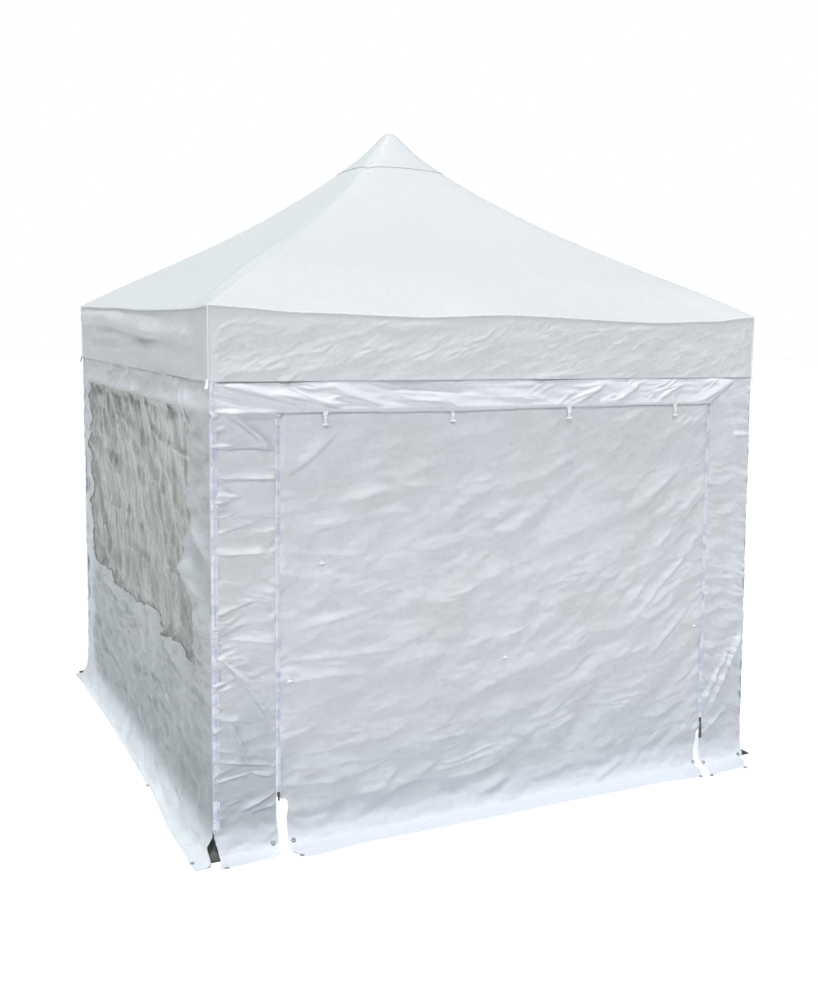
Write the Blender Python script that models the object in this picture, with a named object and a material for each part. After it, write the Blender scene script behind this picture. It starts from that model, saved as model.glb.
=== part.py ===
"""Marquee tent: a folding frame on four splayed feet, with a hipped canopy and four hanging walls.

Metres, +Z up. The origin is the centre of the footprint, on the ground. The front wall faces -Y and holds the
door panel, +X runs to the right along it, and +Y runs to the back. Each side of the tent is modelled as if it
were the front and then turned about Z.
"""

import math

import bmesh
import bpy

# Canopy
SIDE = 3.0
EAVE_HEIGHT = 2.46
PEAK_HEIGHT = 3.48
VALANCE_DEPTH = 0.328
ROOF_SAG = 0.516
ROOF_SAG_FADE = 1.63
ROOF_ROWS = 12
ROW_CROWDING = 1.4
PEAK_OPENING = 0.025
PATCH_ROWS = 4
PATCH_THICKNESS = 0.002

# Cloth and the clearance between pieces that touch
CLOTH = 0.003
GAP = 0.0003
WINDOW_FILM = 0.001

# Walls
WALL_TOP = 2.40
WALL_BOTTOM = 0.05
DOOR_TOP = 2.0
DOOR_ZIP_CENTRE = 1.21
ZIP_WIDTH = 0.028
SLIT_TOP = 0.25
WINDOW_HALF_WIDTH = 1.18
WINDOW_BOTTOM = 0.83
WINDOW_TOP = 2.0
WINDOW_LAP = 0.015
CORNER_CUT_TOP = 0.105
CORNER_CUT_WIDTH = 0.084

# Ground skirts
SKIRT_WIDTH = 0.19
SKIRT_BEND_STEPS = 4
SKIRT_SLIT_FLARE = 0.03
FOOT_CLEARANCE = 0.004
SKIRT_CORNER_REACH = 0.006

# Frame
LEG_AXIS = 1.468
LEG_TUBE = 0.045
LEG_INNER_TUBE = 0.038
LEG_OVERLAP_TOP = 1.30
BRACKET = 0.050
BRACKET_HEIGHT = 0.06
FOOT_WIDTH = 0.200
FOOT_EDGE = 0.005
FOOT_FLARE_TOP = 0.070
FOOT_TOP = 0.130
FOOT_POCKET_FLOOR = 0.012
FOOT_FLARE_STEPS = 5
FOOT_FLARE_POWER = 2.4
BAR_HEIGHT = 0.025
BAR_THICKNESS = 0.012
BAR_SPACING = 0.001
TRUSS_TOP = 2.41
TRUSS_BOTTOM = 2.05
PIN_RADIUS = 0.007
PIN_SIDES = 8
PIN_INSET = 0.001
TRUSS_PLATE_HALF = 0.02
MAST_RADIUS = 0.018
HUB_RADIUS = 0.030
HUB_HALF_HEIGHT = 0.02
MAST_FOOT = 2.0
MAST_PAD_RADIUS = 0.050
MAST_PAD_DEPTH = 0.07
MAST_PAD_BEVEL = 0.01
MAST_SIDES = 16

# Derived places
HALF = SIDE / 2
WALL_FACE = HALF - CLOTH - GAP
WALL_BACK = WALL_FACE - CLOTH
ROOF_SLOPE = math.atan2(PEAK_HEIGHT - EAVE_HEIGHT, HALF)
ROOF_DROP = CLOTH / math.cos(ROOF_SLOPE)
VALANCE_TOP = EAVE_HEIGHT - ROOF_DROP - GAP
VALANCE_BOTTOM = EAVE_HEIGHT - VALANCE_DEPTH
ZIP_HALF = ZIP_WIDTH / 2
CORNER_ZIP_INNER = WALL_FACE - ZIP_WIDTH
WALL_LEFT_END = -CORNER_ZIP_INNER + GAP
WALL_RIGHT_END = WALL_BACK - GAP
BAR_HALF = BAR_HEIGHT / 2
TRUSS_HALF = BAR_THICKNESS + BAR_SPACING / 2

TURNS = {"front": 0.0, "right": 0.5 * math.pi, "back": math.pi, "left": 1.5 * math.pi}
CORNERS = {"front_left": (-1, -1), "front_right": (1, -1), "back_right": (1, 1), "back_left": (-1, 1)}
ZIP_SIDES = {"front_left": "front", "front_right": "right", "back_right": "back", "back_left": "left"}

# Colour, roughness and metallic value of each kind of piece
ROOF_CLOTH = ((0.82, 0.85, 0.89), 0.55, 0.0)
WALL_CLOTH = ((0.62, 0.66, 0.70), 0.50, 0.0)
CLEAR_FILM = ((0.44, 0.46, 0.44), 0.15, 0.0)
ZIP_TAPE = ((0.66, 0.69, 0.82), 0.60, 0.0)
ALUMINIUM = ((0.62, 0.63, 0.65), 0.35, 0.9)
BRACKET_BLACK = ((0.08, 0.09, 0.09), 0.50, 0.0)


def clear_scene():
    for old in list(bpy.data.objects):
        bpy.data.objects.remove(old)


def new_material(name, look):
    colour, roughness, metallic = look
    material = bpy.data.materials.new(name)
    material.use_nodes = True
    shader = material.node_tree.nodes["Principled BSDF"]
    shader.inputs["Base Color"].default_value = (*colour, 1.0)
    shader.inputs["Roughness"].default_value = roughness
    shader.inputs["Metallic"].default_value = metallic
    return material


def new_object(name, points, faces, look):
    """A closed mesh object whose faces all point out."""
    mesh = bpy.data.meshes.new(name)
    shape = bmesh.new()
    corners = [shape.verts.new(point) for point in points]
    for face in faces:
        shape.faces.new([corners[index] for index in face])
    bmesh.ops.recalc_face_normals(shape, faces=shape.faces)
    shape.to_mesh(mesh)
    shape.free()
    mesh.materials.append(new_material(name, look))
    piece = bpy.data.objects.new(name, mesh)
    bpy.context.scene.collection.objects.link(piece)
    return piece


def on_side(piece, side):
    """Turn a piece that was modelled at the front to its own side of the tent."""
    piece.rotation_euler.z = TURNS[side]
    return piece


def prism(name, outline, near, far, look, along="x"):
    """An outline of (along, height) points, given a thickness from near to far across it."""
    if along == "x":
        points = [(u, w, v) for w in (near, far) for u, v in outline]
    else:
        points = [(w, u, v) for w in (near, far) for u, v in outline]
    count = len(outline)
    caps = [tuple(range(count)), tuple(range(2 * count - 1, count - 1, -1))]
    sides = [(i, (i + 1) % count, count + (i + 1) % count, count + i) for i in range(count)]
    return new_object(name, points, caps + sides, look)


def rectangle(left, right, bottom, top):
    return [(left, bottom), (right, bottom), (right, top), (left, top)]


def stacked_squares(name, profile, look):
    """Squares of the half width and height in each profile point, joined into one closed solid."""
    points = []
    for half, height in profile:
        points += [(-half, -half, height), (half, -half, height), (half, half, height), (-half, half, height)]
    faces = [(3, 2, 1, 0)]
    for row in range(len(profile) - 1):
        low = 4 * row
        faces += [(low + i, low + (i + 1) % 4, low + 4 + (i + 1) % 4, low + 4 + i) for i in range(4)]
    last = 4 * (len(profile) - 1)
    faces.append((last, last + 1, last + 2, last + 3))
    return new_object(name, points, faces, look)


def fuse(piece, others):
    """Join other closed shapes to a piece, so that they are one solid."""
    for other in others:
        other.hide_render = True
        other.display_type = "WIRE"
        join = piece.modifiers.new("join " + other.name, "BOOLEAN")
        join.operation = "UNION"
        join.solver = "EXACT"
        join.object = other


def cut_with(piece, cutter):
    cutter.hide_render = True
    cutter.display_type = "WIRE"
    cut = piece.modifiers.new("cut", "BOOLEAN")
    cut.operation = "DIFFERENCE"
    cut.solver = "EXACT"
    cut.object = cutter


def roof_height(reach):
    """Height of the roof's top face where the square across it has this half width."""
    share = reach / HALF
    straight = PEAK_HEIGHT - (PEAK_HEIGHT - EAVE_HEIGHT) * share
    return straight - ROOF_SAG * share * (1 - share) ** ROOF_SAG_FADE


def roof_rows():
    """Half widths of the squares that the roof panels are built on, closer together near the peak."""
    shares = [(row / ROOF_ROWS) ** ROW_CROWDING for row in range(ROOF_ROWS + 1)]
    return [PEAK_OPENING + (HALF - PEAK_OPENING) * share for share in shares]


def under_roof(reach):
    """Highest place for a piece under the roof's flat facets, where the square has this half width."""
    rows = roof_rows()
    for low, high in zip(rows, rows[1:]):
        if reach <= high:
            break
    share = (reach - low) / (high - low)
    return roof_height(low) + (roof_height(high) - roof_height(low)) * share - ROOF_DROP - GAP


def roof_panel(side):
    """One triangle of the roof, from the eave up to the small opening under the peak patch."""
    points = []
    for reach in roof_rows():
        height = roof_height(reach)
        edge = reach - GAP
        points += [(-edge, -reach, height), (edge, -reach, height)]
        points += [(edge, -reach, height - ROOF_DROP), (-edge, -reach, height - ROOF_DROP)]
    faces = [(0, 1, 2, 3)]
    for row in range(ROOF_ROWS):
        low = 4 * row
        faces += [(low + i, low + 4 + i, low + 4 + (i + 1) % 4, low + (i + 1) % 4) for i in range(4)]
    last = 4 * ROOF_ROWS
    faces.append((last + 3, last + 2, last + 1, last))
    on_side(new_object("roof_" + side, points, faces, ROOF_CLOTH), side)


def peak_patch():
    """The square patch sewn over the tips of the four roof panels."""
    rows = roof_rows()[:PATCH_ROWS]
    points = []
    for lift in (GAP, GAP + PATCH_THICKNESS):
        points.append((0.0, 0.0, PEAK_HEIGHT + lift))
        for reach in rows:
            height = roof_height(reach) + lift
            points += [(-reach, -reach, height), (reach, -reach, height)]
            points += [(reach, reach, height), (-reach, reach, height)]
    layer = 1 + 4 * PATCH_ROWS
    faces = []
    for start in (0, layer):
        faces += [(start, start + 1 + i, start + 1 + (i + 1) % 4) for i in range(4)]
        for row in range(PATCH_ROWS - 1):
            low = start + 1 + 4 * row
            faces += [(low + i, low + 4 + i, low + 4 + (i + 1) % 4, low + (i + 1) % 4) for i in range(4)]
    rim = layer - 4
    faces += [(rim + i, rim + (i + 1) % 4, layer + rim + (i + 1) % 4, layer + rim + i) for i in range(4)]
    new_object("peak_patch", points, faces, ROOF_CLOTH)


def valance(side):
    """The straight band that hangs from the eave. The side ones fit between the front and the back ones."""
    half = HALF if side in ("front", "back") else HALF - CLOTH - GAP
    outline = rectangle(-half, half, VALANCE_BOTTOM, VALANCE_TOP)
    on_side(prism("valance_" + side, outline, -HALF, -HALF + CLOTH, ROOF_CLOTH), side)


def corner_cut_height(along):
    """Bottom edge of a wall near a corner, where it is cut away over the foot."""
    return CORNER_CUT_TOP - (CORNER_CUT_TOP - WALL_BOTTOM) * (WALL_FACE - abs(along)) / CORNER_CUT_WIDTH


def wall_outline(left, right):
    """A wall sheet between two places along its side, with its bottom corners cut over the feet."""
    cut_end = WALL_FACE - CORNER_CUT_WIDTH
    bottom = []
    if left < -cut_end:
        bottom += [(left, corner_cut_height(left)), (-cut_end, WALL_BOTTOM)]
    else:
        bottom.append((left, WALL_BOTTOM))
    if right > cut_end:
        bottom += [(cut_end, WALL_BOTTOM), (right, corner_cut_height(right))]
    else:
        bottom.append((right, WALL_BOTTOM))
    return bottom + [(right, WALL_TOP), (left, WALL_TOP)]


def wall_sheet(name, outline, side, look=WALL_CLOTH):
    return on_side(prism(name, outline, -WALL_FACE, -WALL_BACK, look), side)


def front_wall():
    """Header, side strips, door panel and the two door zips, edge to edge in one plane."""
    strip_inner = DOOR_ZIP_CENTRE + ZIP_HALF
    door_half = DOOR_ZIP_CENTRE - ZIP_HALF - GAP
    wall_sheet("front_strip_left", wall_outline(WALL_LEFT_END, -strip_inner), "front")
    wall_sheet("front_strip_right", wall_outline(strip_inner, WALL_RIGHT_END), "front")
    header_half = strip_inner - GAP
    wall_sheet("front_header", rectangle(-header_half, header_half, DOOR_TOP, WALL_TOP), "front")
    wall_sheet("door_panel", rectangle(-door_half, door_half, WALL_BOTTOM, DOOR_TOP - GAP), "front")
    for name, sign in (("door_zip_left", -1), ("door_zip_right", 1)):
        edges = sorted((sign * (door_half + GAP), sign * (strip_inner - GAP)))
        wall_sheet(name, rectangle(*edges, SLIT_TOP, DOOR_TOP - GAP), "front", ZIP_TAPE)


def window_wall(side):
    """A side wall with its window cut through, and the clear sheet sewn behind the window."""
    wall = wall_sheet(side + "_wall", wall_outline(WALL_LEFT_END, WALL_RIGHT_END), side)
    hole = rectangle(-WINDOW_HALF_WIDTH, WINDOW_HALF_WIDTH, WINDOW_BOTTOM, WINDOW_TOP)
    cutter = prism(side + "_window_cutter", hole, -WALL_FACE - CLOTH, -WALL_BACK + CLOTH, WALL_CLOTH)
    cut_with(wall, on_side(cutter, side))
    film_half = WINDOW_HALF_WIDTH + WINDOW_LAP
    film = rectangle(-film_half, film_half, WINDOW_BOTTOM - WINDOW_LAP, WINDOW_TOP + WINDOW_LAP)
    film_face = -WALL_BACK + GAP
    on_side(prism(side + "_window", film, film_face, film_face + WINDOW_FILM, CLEAR_FILM), side)


def back_wall():
    wall_sheet("back_wall", wall_outline(WALL_LEFT_END, WALL_RIGHT_END), "back")


def corner_zip(corner):
    """The zip that joins two walls, in the plane of the wall whose left end, seen from outside, is there."""
    outline = rectangle(-WALL_FACE, -CORNER_ZIP_INNER, CORNER_CUT_TOP, WALL_TOP)
    wall_sheet("corner_zip_" + corner, outline, ZIP_SIDES[corner], ZIP_TAPE)


def skirt_section():
    """Pairs of upper and lower (outward, height) points, from the wall's bottom edge out along the ground."""
    top = WALL_BOTTOM - GAP
    bend = top - CLOTH
    section = []
    for step in range(SKIRT_BEND_STEPS + 1):
        angle = 0.5 * math.pi * step / SKIRT_BEND_STEPS
        pair = []
        for radius in (bend, bend + CLOTH):
            pair.append((bend - radius * math.cos(angle), top - radius * math.sin(angle)))
        section.append(pair)
    for reach in (foot_edge_reach(), SKIRT_WIDTH):
        section.append([(reach, CLOTH), (reach, 0.0)])
    return section


def foot_edge_reach():
    """How far out from the wall's face the edge of a foot lies, with a little room."""
    return LEG_AXIS + FOOT_WIDTH / 2 + FOOT_CLEARANCE - WALL_FACE


def corner_end(outward):
    """Where a skirt ends beside a corner: it passes round the foot and ends in a slanting edge."""
    inner = LEG_AXIS - FOOT_WIDTH / 2 - FOOT_CLEARANCE
    beyond = max(0.0, outward - foot_edge_reach()) / (SKIRT_WIDTH - foot_edge_reach())
    return inner + (WALL_FACE + SKIRT_CORNER_REACH - inner) * beyond


def slit_end(edge, flare):
    """Where a skirt ends beside a door slit, which opens a little towards its outer edge."""
    return lambda outward: edge + flare * max(0.0, outward) / SKIRT_WIDTH


def skirt(name, side, left_end, right_end):
    section = skirt_section()
    points = []
    for pair in section:
        for outward, height in pair:
            points.append((left_end(outward), -WALL_FACE - outward, height))
            points.append((right_end(outward), -WALL_FACE - outward, height))
    faces = [(0, 1, 3, 2)]
    for row in range(len(section) - 1):
        low = 4 * row
        high = low + 4
        faces.append((low, high, high + 1, low + 1))
        faces.append((low + 2, low + 3, high + 3, high + 2))
        faces.append((low, low + 2, high + 2, high))
        faces.append((low + 1, high + 1, high + 3, low + 3))
    last = 4 * (len(section) - 1)
    faces.append((last, last + 2, last + 3, last + 1))
    on_side(new_object(name, points, faces, WALL_CLOTH), side)


def skirts():
    def far_end(outward):
        return -corner_end(outward)

    strip_edge = DOOR_ZIP_CENTRE + ZIP_HALF
    door_edge = DOOR_ZIP_CENTRE - ZIP_HALF - GAP
    skirt("skirt_front_left", "front", far_end, slit_end(-strip_edge, -SKIRT_SLIT_FLARE))
    skirt("skirt_door", "front", slit_end(-door_edge, 0.0), slit_end(door_edge, 0.0))
    skirt("skirt_front_right", "front", slit_end(strip_edge, SKIRT_SLIT_FLARE), corner_end)
    for side in ("right", "back", "left"):
        skirt("skirt_" + side, side, far_end, corner_end)


def leg(corner):
    """Outer tube, inner tube, sliding bracket and the fixed bracket under the roof, as one stepped post."""
    tube = LEG_TUBE / 2
    inner = LEG_INNER_TUBE / 2
    bracket = BRACKET / 2
    slider_low = TRUSS_BOTTOM - BRACKET_HEIGHT / 2
    slider_high = TRUSS_BOTTOM + BRACKET_HEIGHT / 2
    fixed_low = TRUSS_TOP - BRACKET_HEIGHT / 2
    top = under_roof(LEG_AXIS + bracket)
    profile = [(tube, FOOT_POCKET_FLOOR + GAP), (tube, LEG_OVERLAP_TOP)]
    profile += [(inner, LEG_OVERLAP_TOP), (inner, slider_low)]
    profile += [(bracket, slider_low), (bracket, slider_high), (inner, slider_high), (inner, fixed_low)]
    profile += [(bracket, fixed_low), (bracket, top)]
    piece = stacked_squares("leg_" + corner, profile, ALUMINIUM)
    place_at_corner(piece, corner)


def foot(corner):
    """A foot that flares from a socket round the leg to a wide square edge on the ground."""
    socket = BRACKET / 2
    pocket = LEG_TUBE / 2 + GAP
    wide = FOOT_WIDTH / 2
    profile = [(wide, 0.0), (wide, FOOT_EDGE)]
    for step in range(1, FOOT_FLARE_STEPS + 1):
        share = step / FOOT_FLARE_STEPS
        height = FOOT_EDGE + (FOOT_FLARE_TOP - FOOT_EDGE) * share
        profile.append((socket + (wide - socket) * (1 - share) ** FOOT_FLARE_POWER, height))
    profile += [(socket, FOOT_TOP), (pocket, FOOT_TOP), (pocket, FOOT_POCKET_FLOOR)]
    place_at_corner(stacked_squares("foot_" + corner, profile, BRACKET_BLACK), corner)


def place_at_corner(piece, corner):
    across, depth = CORNERS[corner]
    piece.location = (across * LEG_AXIS, depth * LEG_AXIS, 0.0)


def bar_outline(stations):
    """A flat bar that bends at its stations, with upright ends."""
    upper = [(u, v + BAR_HALF) for u, v in stations]
    lower = [(u, v - BAR_HALF) for u, v in stations]
    return lower + upper[::-1]


def side_truss(side):
    """Two pairs of crossed bars between two legs, pinned where they cross and bracketed in the middle."""
    end = LEG_AXIS - BRACKET / 2 - GAP
    falling = bar_outline([(-end, TRUSS_TOP), (0.0, TRUSS_BOTTOM), (end, TRUSS_TOP)])
    rising = bar_outline([(-end, TRUSS_BOTTOM), (0.0, TRUSS_TOP), (end, TRUSS_BOTTOM)])
    outer_near = -LEG_AXIS - TRUSS_HALF
    inner_far = -LEG_AXIS + TRUSS_HALF
    name = "truss_" + side
    truss = prism(name, falling, outer_near, outer_near + BAR_THICKNESS, ALUMINIUM)
    joined = [prism(name + "_inner_bars", rising, inner_far - BAR_THICKNESS, inner_far, ALUMINIUM)]
    middle_height = (TRUSS_TOP + TRUSS_BOTTOM) / 2
    for u in (-end / 2, end / 2):
        pin_ends = (outer_near + PIN_INSET, inner_far - PIN_INSET)
        joined.append(prism(f"{name}_pin_{u:.1f}", pin_outline(u, middle_height), *pin_ends, ALUMINIUM))
    for height in (TRUSS_TOP, TRUSS_BOTTOM):
        half = TRUSS_PLATE_HALF
        plate = rectangle(-half, half, height - half, height + half)
        plate_faces = (outer_near - PIN_INSET, inner_far + PIN_INSET)
        joined.append(prism(f"{name}_bracket_{height}", plate, *plate_faces, ALUMINIUM))
    on_side(truss, side)
    for shape in joined:
        on_side(shape, side)
    fuse(truss, joined)


def pin_outline(u, v):
    angles = [2 * math.pi * (i + 0.5) / PIN_SIDES for i in range(PIN_SIDES)]
    return [(u + PIN_RADIUS * math.cos(angle), v + PIN_RADIUS * math.sin(angle)) for angle in angles]


def centre_truss(side):
    """One pair of crossed bars from the middle of a side truss to the hubs of the centre mast."""
    outer = -LEG_AXIS + TRUSS_HALF + PIN_INSET + GAP
    inner = -HUB_RADIUS - GAP
    falling = bar_outline([(outer, TRUSS_TOP), (inner, TRUSS_BOTTOM)])
    rising = bar_outline([(outer, TRUSS_BOTTOM), (inner, TRUSS_TOP)])
    name = "centre_truss_" + side
    truss = prism(name, falling, -TRUSS_HALF, -TRUSS_HALF + BAR_THICKNESS, ALUMINIUM, along="y")
    other = prism(name + "_bar", rising, TRUSS_HALF - BAR_THICKNESS, TRUSS_HALF, ALUMINIUM, along="y")
    crossing = pin_outline((outer + inner) / 2, (TRUSS_TOP + TRUSS_BOTTOM) / 2)
    pin_half = TRUSS_HALF - PIN_INSET
    pin = prism(name + "_pin", crossing, -pin_half, pin_half, ALUMINIUM, along="y")
    for shape in (truss, other, pin):
        on_side(shape, side)
    fuse(truss, [other, pin])


def centre_mast():
    """The mast that pushes the peak up: a tube with two round hubs and a rounded pad under the cloth."""
    seat = under_roof(HUB_RADIUS)
    profile = [(0.0, MAST_FOOT), (MAST_RADIUS, MAST_FOOT)]
    for height in (TRUSS_BOTTOM, TRUSS_TOP):
        profile += [(MAST_RADIUS, height - HUB_HALF_HEIGHT), (HUB_RADIUS, height - HUB_HALF_HEIGHT)]
        profile += [(HUB_RADIUS, height + HUB_HALF_HEIGHT), (MAST_RADIUS, height + HUB_HALF_HEIGHT)]
    pad_low = seat - MAST_PAD_DEPTH
    profile += [(MAST_RADIUS, pad_low), (MAST_PAD_RADIUS, pad_low + MAST_PAD_BEVEL)]
    profile += [(MAST_PAD_RADIUS, under_roof(MAST_PAD_RADIUS)), (HUB_RADIUS, seat)]
    profile += [(HUB_RADIUS / 2, under_roof(HUB_RADIUS / 2)), (0.0, under_roof(0.0))]
    shape = bmesh.new()
    corners = [shape.verts.new((radius, 0.0, height)) for radius, height in profile]
    edges = [shape.edges.new(pair) for pair in zip(corners, corners[1:])]
    turned = corners + edges
    bmesh.ops.spin(shape, geom=turned, cent=(0, 0, 0), axis=(0, 0, 1), angle=2 * math.pi, steps=MAST_SIDES)
    bmesh.ops.remove_doubles(shape, verts=shape.verts, dist=0.00001)
    bmesh.ops.recalc_face_normals(shape, faces=shape.faces)
    mesh = bpy.data.meshes.new("centre_mast")
    shape.to_mesh(mesh)
    shape.free()
    mesh.shade_smooth()
    mesh.set_sharp_from_angle(angle=math.radians(35))
    mesh.materials.append(new_material("centre_mast", ALUMINIUM))
    bpy.context.scene.collection.objects.link(bpy.data.objects.new("centre_mast", mesh))


def build():
    clear_scene()
    for side in TURNS:
        roof_panel(side)
        valance(side)
        side_truss(side)
        centre_truss(side)
    peak_patch()
    front_wall()
    window_wall("left")
    window_wall("right")
    back_wall()
    skirts()
    for corner in CORNERS:
        corner_zip(corner)
        leg(corner)
        foot(corner)
    centre_mast()


build()
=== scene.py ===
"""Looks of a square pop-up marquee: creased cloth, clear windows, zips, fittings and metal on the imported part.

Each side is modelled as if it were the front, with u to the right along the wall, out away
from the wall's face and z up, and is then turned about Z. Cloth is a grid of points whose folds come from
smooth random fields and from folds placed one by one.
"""

import math

import bpy
import numpy as np
from mathutils import Matrix, Vector


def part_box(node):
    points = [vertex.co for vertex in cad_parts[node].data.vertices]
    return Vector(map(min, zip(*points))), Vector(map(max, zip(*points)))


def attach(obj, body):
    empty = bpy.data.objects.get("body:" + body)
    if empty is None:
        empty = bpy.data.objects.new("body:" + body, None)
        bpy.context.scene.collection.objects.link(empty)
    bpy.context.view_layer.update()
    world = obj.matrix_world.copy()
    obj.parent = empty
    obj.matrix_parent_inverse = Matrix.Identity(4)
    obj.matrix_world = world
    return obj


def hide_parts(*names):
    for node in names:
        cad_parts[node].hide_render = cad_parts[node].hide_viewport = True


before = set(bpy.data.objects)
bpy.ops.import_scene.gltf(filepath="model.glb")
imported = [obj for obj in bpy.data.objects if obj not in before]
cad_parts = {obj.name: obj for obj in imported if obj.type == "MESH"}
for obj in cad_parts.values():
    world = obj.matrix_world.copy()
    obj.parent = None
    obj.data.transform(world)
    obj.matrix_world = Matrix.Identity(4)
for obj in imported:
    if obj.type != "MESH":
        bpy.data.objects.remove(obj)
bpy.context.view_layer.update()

# Boxes of the frame's nodes, each a low and a high corner, and the places read from them
VALANCE, PANEL, HEADER, DOOR_ZIP, CORNER_ZIP, PATCH, FOOT = (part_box(node) for node in (
    "valance_front", "door_panel", "front_header", "door_zip_left", "corner_zip_front_left", "peak_patch",
    "foot_front_right"))
HALF = VALANCE[1].x
VALANCE_BOTTOM, VALANCE_TOP = (corner.z for corner in VALANCE)
DOOR_TOP, WALL_TOP = (corner.z for corner in HEADER)
WALL_FACE = -PANEL[0].y
SLIT_TOP = DOOR_ZIP[0].z
ZIP_WIDTH = DOOR_ZIP[1].x - DOOR_ZIP[0].x
DOOR_ZIP_PLACE = -(DOOR_ZIP[0].x + DOOR_ZIP[1].x) / 2
CORNER_ZIP_PLACE = -(CORNER_ZIP[0].x + CORNER_ZIP[1].x) / 2
CORNER_ZIP_LOW = CORNER_ZIP[0].z
PEAK = PATCH[1].z
PATCH_REACH = PATCH[1].x
LEG_AXIS = (FOOT[0].x + FOOT[1].x) / 2
FOOT_HALF = FOOT[1].x - LEG_AXIS

# The door and its zips hang a little to the right of the middle
DOOR_DRIFT = 0.010
DOOR_HALF = DOOR_ZIP_PLACE - 0.005
DOOR_LEFT = DOOR_DRIFT - DOOR_HALF
DOOR_RIGHT = DOOR_DRIFT + DOOR_HALF

# Roof shape, as in the frame's panels
EAVE = 2.46
ROOF_SAG = 0.516
ROOF_SAG_FADE = 1.63

# Camera, fitted to the corners, eaves, hems, door seams and peak in the photograph
EYE = (-2.851, -6.387, 2.408)
YAW_DEGREES = 28.01
PITCH_DEGREES = -7.86
ROLL_DEGREES = 1.04
LENS = 41.75
SENSOR = 36.0
SHIFT = (-0.0567, -0.0186)

# How the walls turn out into the skirts
BEND_HEIGHT = 0.17
BEND_REACH = 0.07
BEND_STEPS = 18
FLAT_STEPS = 14
CLOTH_EDGE = 0.0018
HEM_HEIGHT = 0.0004

# Rows of cloth behind the valances can be coarse
HIDDEN_MARGIN = 0.02
HIDDEN_STEP = 0.03

# How far each corner of the walls stands out at the ground, fading to nothing at the valance
SPLAY = {"front_left": 0.008, "front_right": 0.030, "back_right": 0.020, "back_left": 0.012}

# The feet, as in the frame
FOOT_SOCKET = 0.025
FOOT_EDGE = 0.005
FOOT_FLARE = 0.065
FOOT_FLARE_POWER = 2.4

TURNS = {"front": 0.0, "right": 0.5 * math.pi, "back": math.pi, "left": 1.5 * math.pi}
CORNERS = {"front_left": (-1, -1), "front_right": (1, -1), "back_right": (1, 1), "back_left": (-1, 1)}
NOISE_CELLS = 256


# Smooth curves and random fields

def ease(x):
    """Smooth step from 0 to 1."""
    x = np.clip(x, 0.0, 1.0)
    return x * x * (3 - 2 * x)


def through(points, at):
    """A smooth curve through (place, value) points, level at each of them."""
    places, values = np.array(points, float).T
    low = np.clip(np.searchsorted(places, at) - 1, 0, len(places) - 2)
    share = ease((at - places[low]) / (places[low + 1] - places[low]))
    return values[low] + (values[low + 1] - values[low]) * share


def noise(u, v, seed):
    """Smooth random field between about -1 and 1, with features about one unit across."""
    angles = np.random.default_rng(seed).uniform(0, 2 * math.pi, (NOISE_CELLS, NOISE_CELLS))
    cell_u = np.floor(u).astype(int)
    cell_v = np.floor(v).astype(int)
    in_u = u - cell_u
    in_v = v - cell_v
    blend_u, blend_v = (x ** 3 * (x * (x * 6 - 15) + 10) for x in (in_u, in_v))
    total = 0.0
    for a in (0, 1):
        for b in (0, 1):
            angle = angles[(cell_u + a) % NOISE_CELLS, (cell_v + b) % NOISE_CELLS]
            slope = np.cos(angle) * (in_u - a) + np.sin(angle) * (in_v - b)
            weight = (blend_u if a else 1 - blend_u) * (blend_v if b else 1 - blend_v)
            total = total + slope * weight
    return 1.6 * total


def streaks(u, v, seed, angle, long, short, lean=0.0):
    """Random field drawn out along a direction, in degrees above the horizontal.

    With lean its ridges hang over: they rise gently from above and fall steeply below.
    """
    turn = math.radians(angle)
    along = (u * math.cos(turn) + v * math.sin(turn)) / long
    across = (-u * math.sin(turn) + v * math.cos(turn)) / short
    across = across + 0.6 * noise(along * 0.9, across * 0.25, seed + 500)
    if lean:
        across = across + lean * noise(along, across, seed)
    return noise(along, across, seed)


def wrinkles(u, v, seed, angle, long, short):
    """Thin raised folds that come and go along a direction, between 0 and 1."""
    line = streaks(u, v, seed, angle, long, short)
    present = ease(0.35 + 1.3 * streaks(u, v, seed + 250, angle, 1.2 * long, 2.5 * short))
    return np.exp(-(line / 0.25) ** 2) * present


def puckers(u, v, seed, seam, reach, spacing, slope=0.0):
    """Short folds that start at an upright seam and fade away from it. slope is their rise along u."""
    away = np.abs(u - seam)
    v = v - slope * (u - seam)
    crest = noise(u / (1.6 * reach), v / spacing + 0.4 * noise(u / reach, v / (3 * spacing), seed + 60), seed)
    groups = ease(0.45 + 1.1 * noise(u / 0.5, v / (7 * spacing), seed + 30))
    return crest * groups * np.exp(-(away / reach) ** 2)


def layered(u, v, layers, seed=0):
    """Sum of layers: each a height, a field, a seed to add to the shared one, and the rest for the field."""
    return sum(height * field(u, v, seed + own, *shape) for height, field, own, *shape in layers)


def fold(u, v, steep, start_u, start_v, end_u, end_v, height, width, bow=0.0):
    """One fold placed from start to end. A steep one falls away faster on its lower side."""
    run = math.hypot(end_u - start_u, end_v - start_v)
    side_u, side_v = (end_u - start_u) / run, (end_v - start_v) / run
    along = ((u - start_u) * side_u + (v - start_v) * side_v) / run
    across = -(u - start_u) * side_v + (v - start_v) * side_u - bow * 4 * along * (1 - along)
    taper = ease((along + 0.08) / 0.3) * ease((1.08 - along) / 0.3)
    lean = across / (width * (1 - steep * np.tanh(-across / width)))
    return height * taper * np.exp(-lean ** 2)


def hand_folds(u, v, folds, steep=0.55):
    """Sum of folds, each a start and an end, a height and a width, and how far it bows if it does."""
    return sum(fold(u, v, steep, *shape) for shape in folds)


def height_at(field, u, v):
    """A field's value at one place."""
    return float(field(np.array([u]), np.array([v]))[0])


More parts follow.
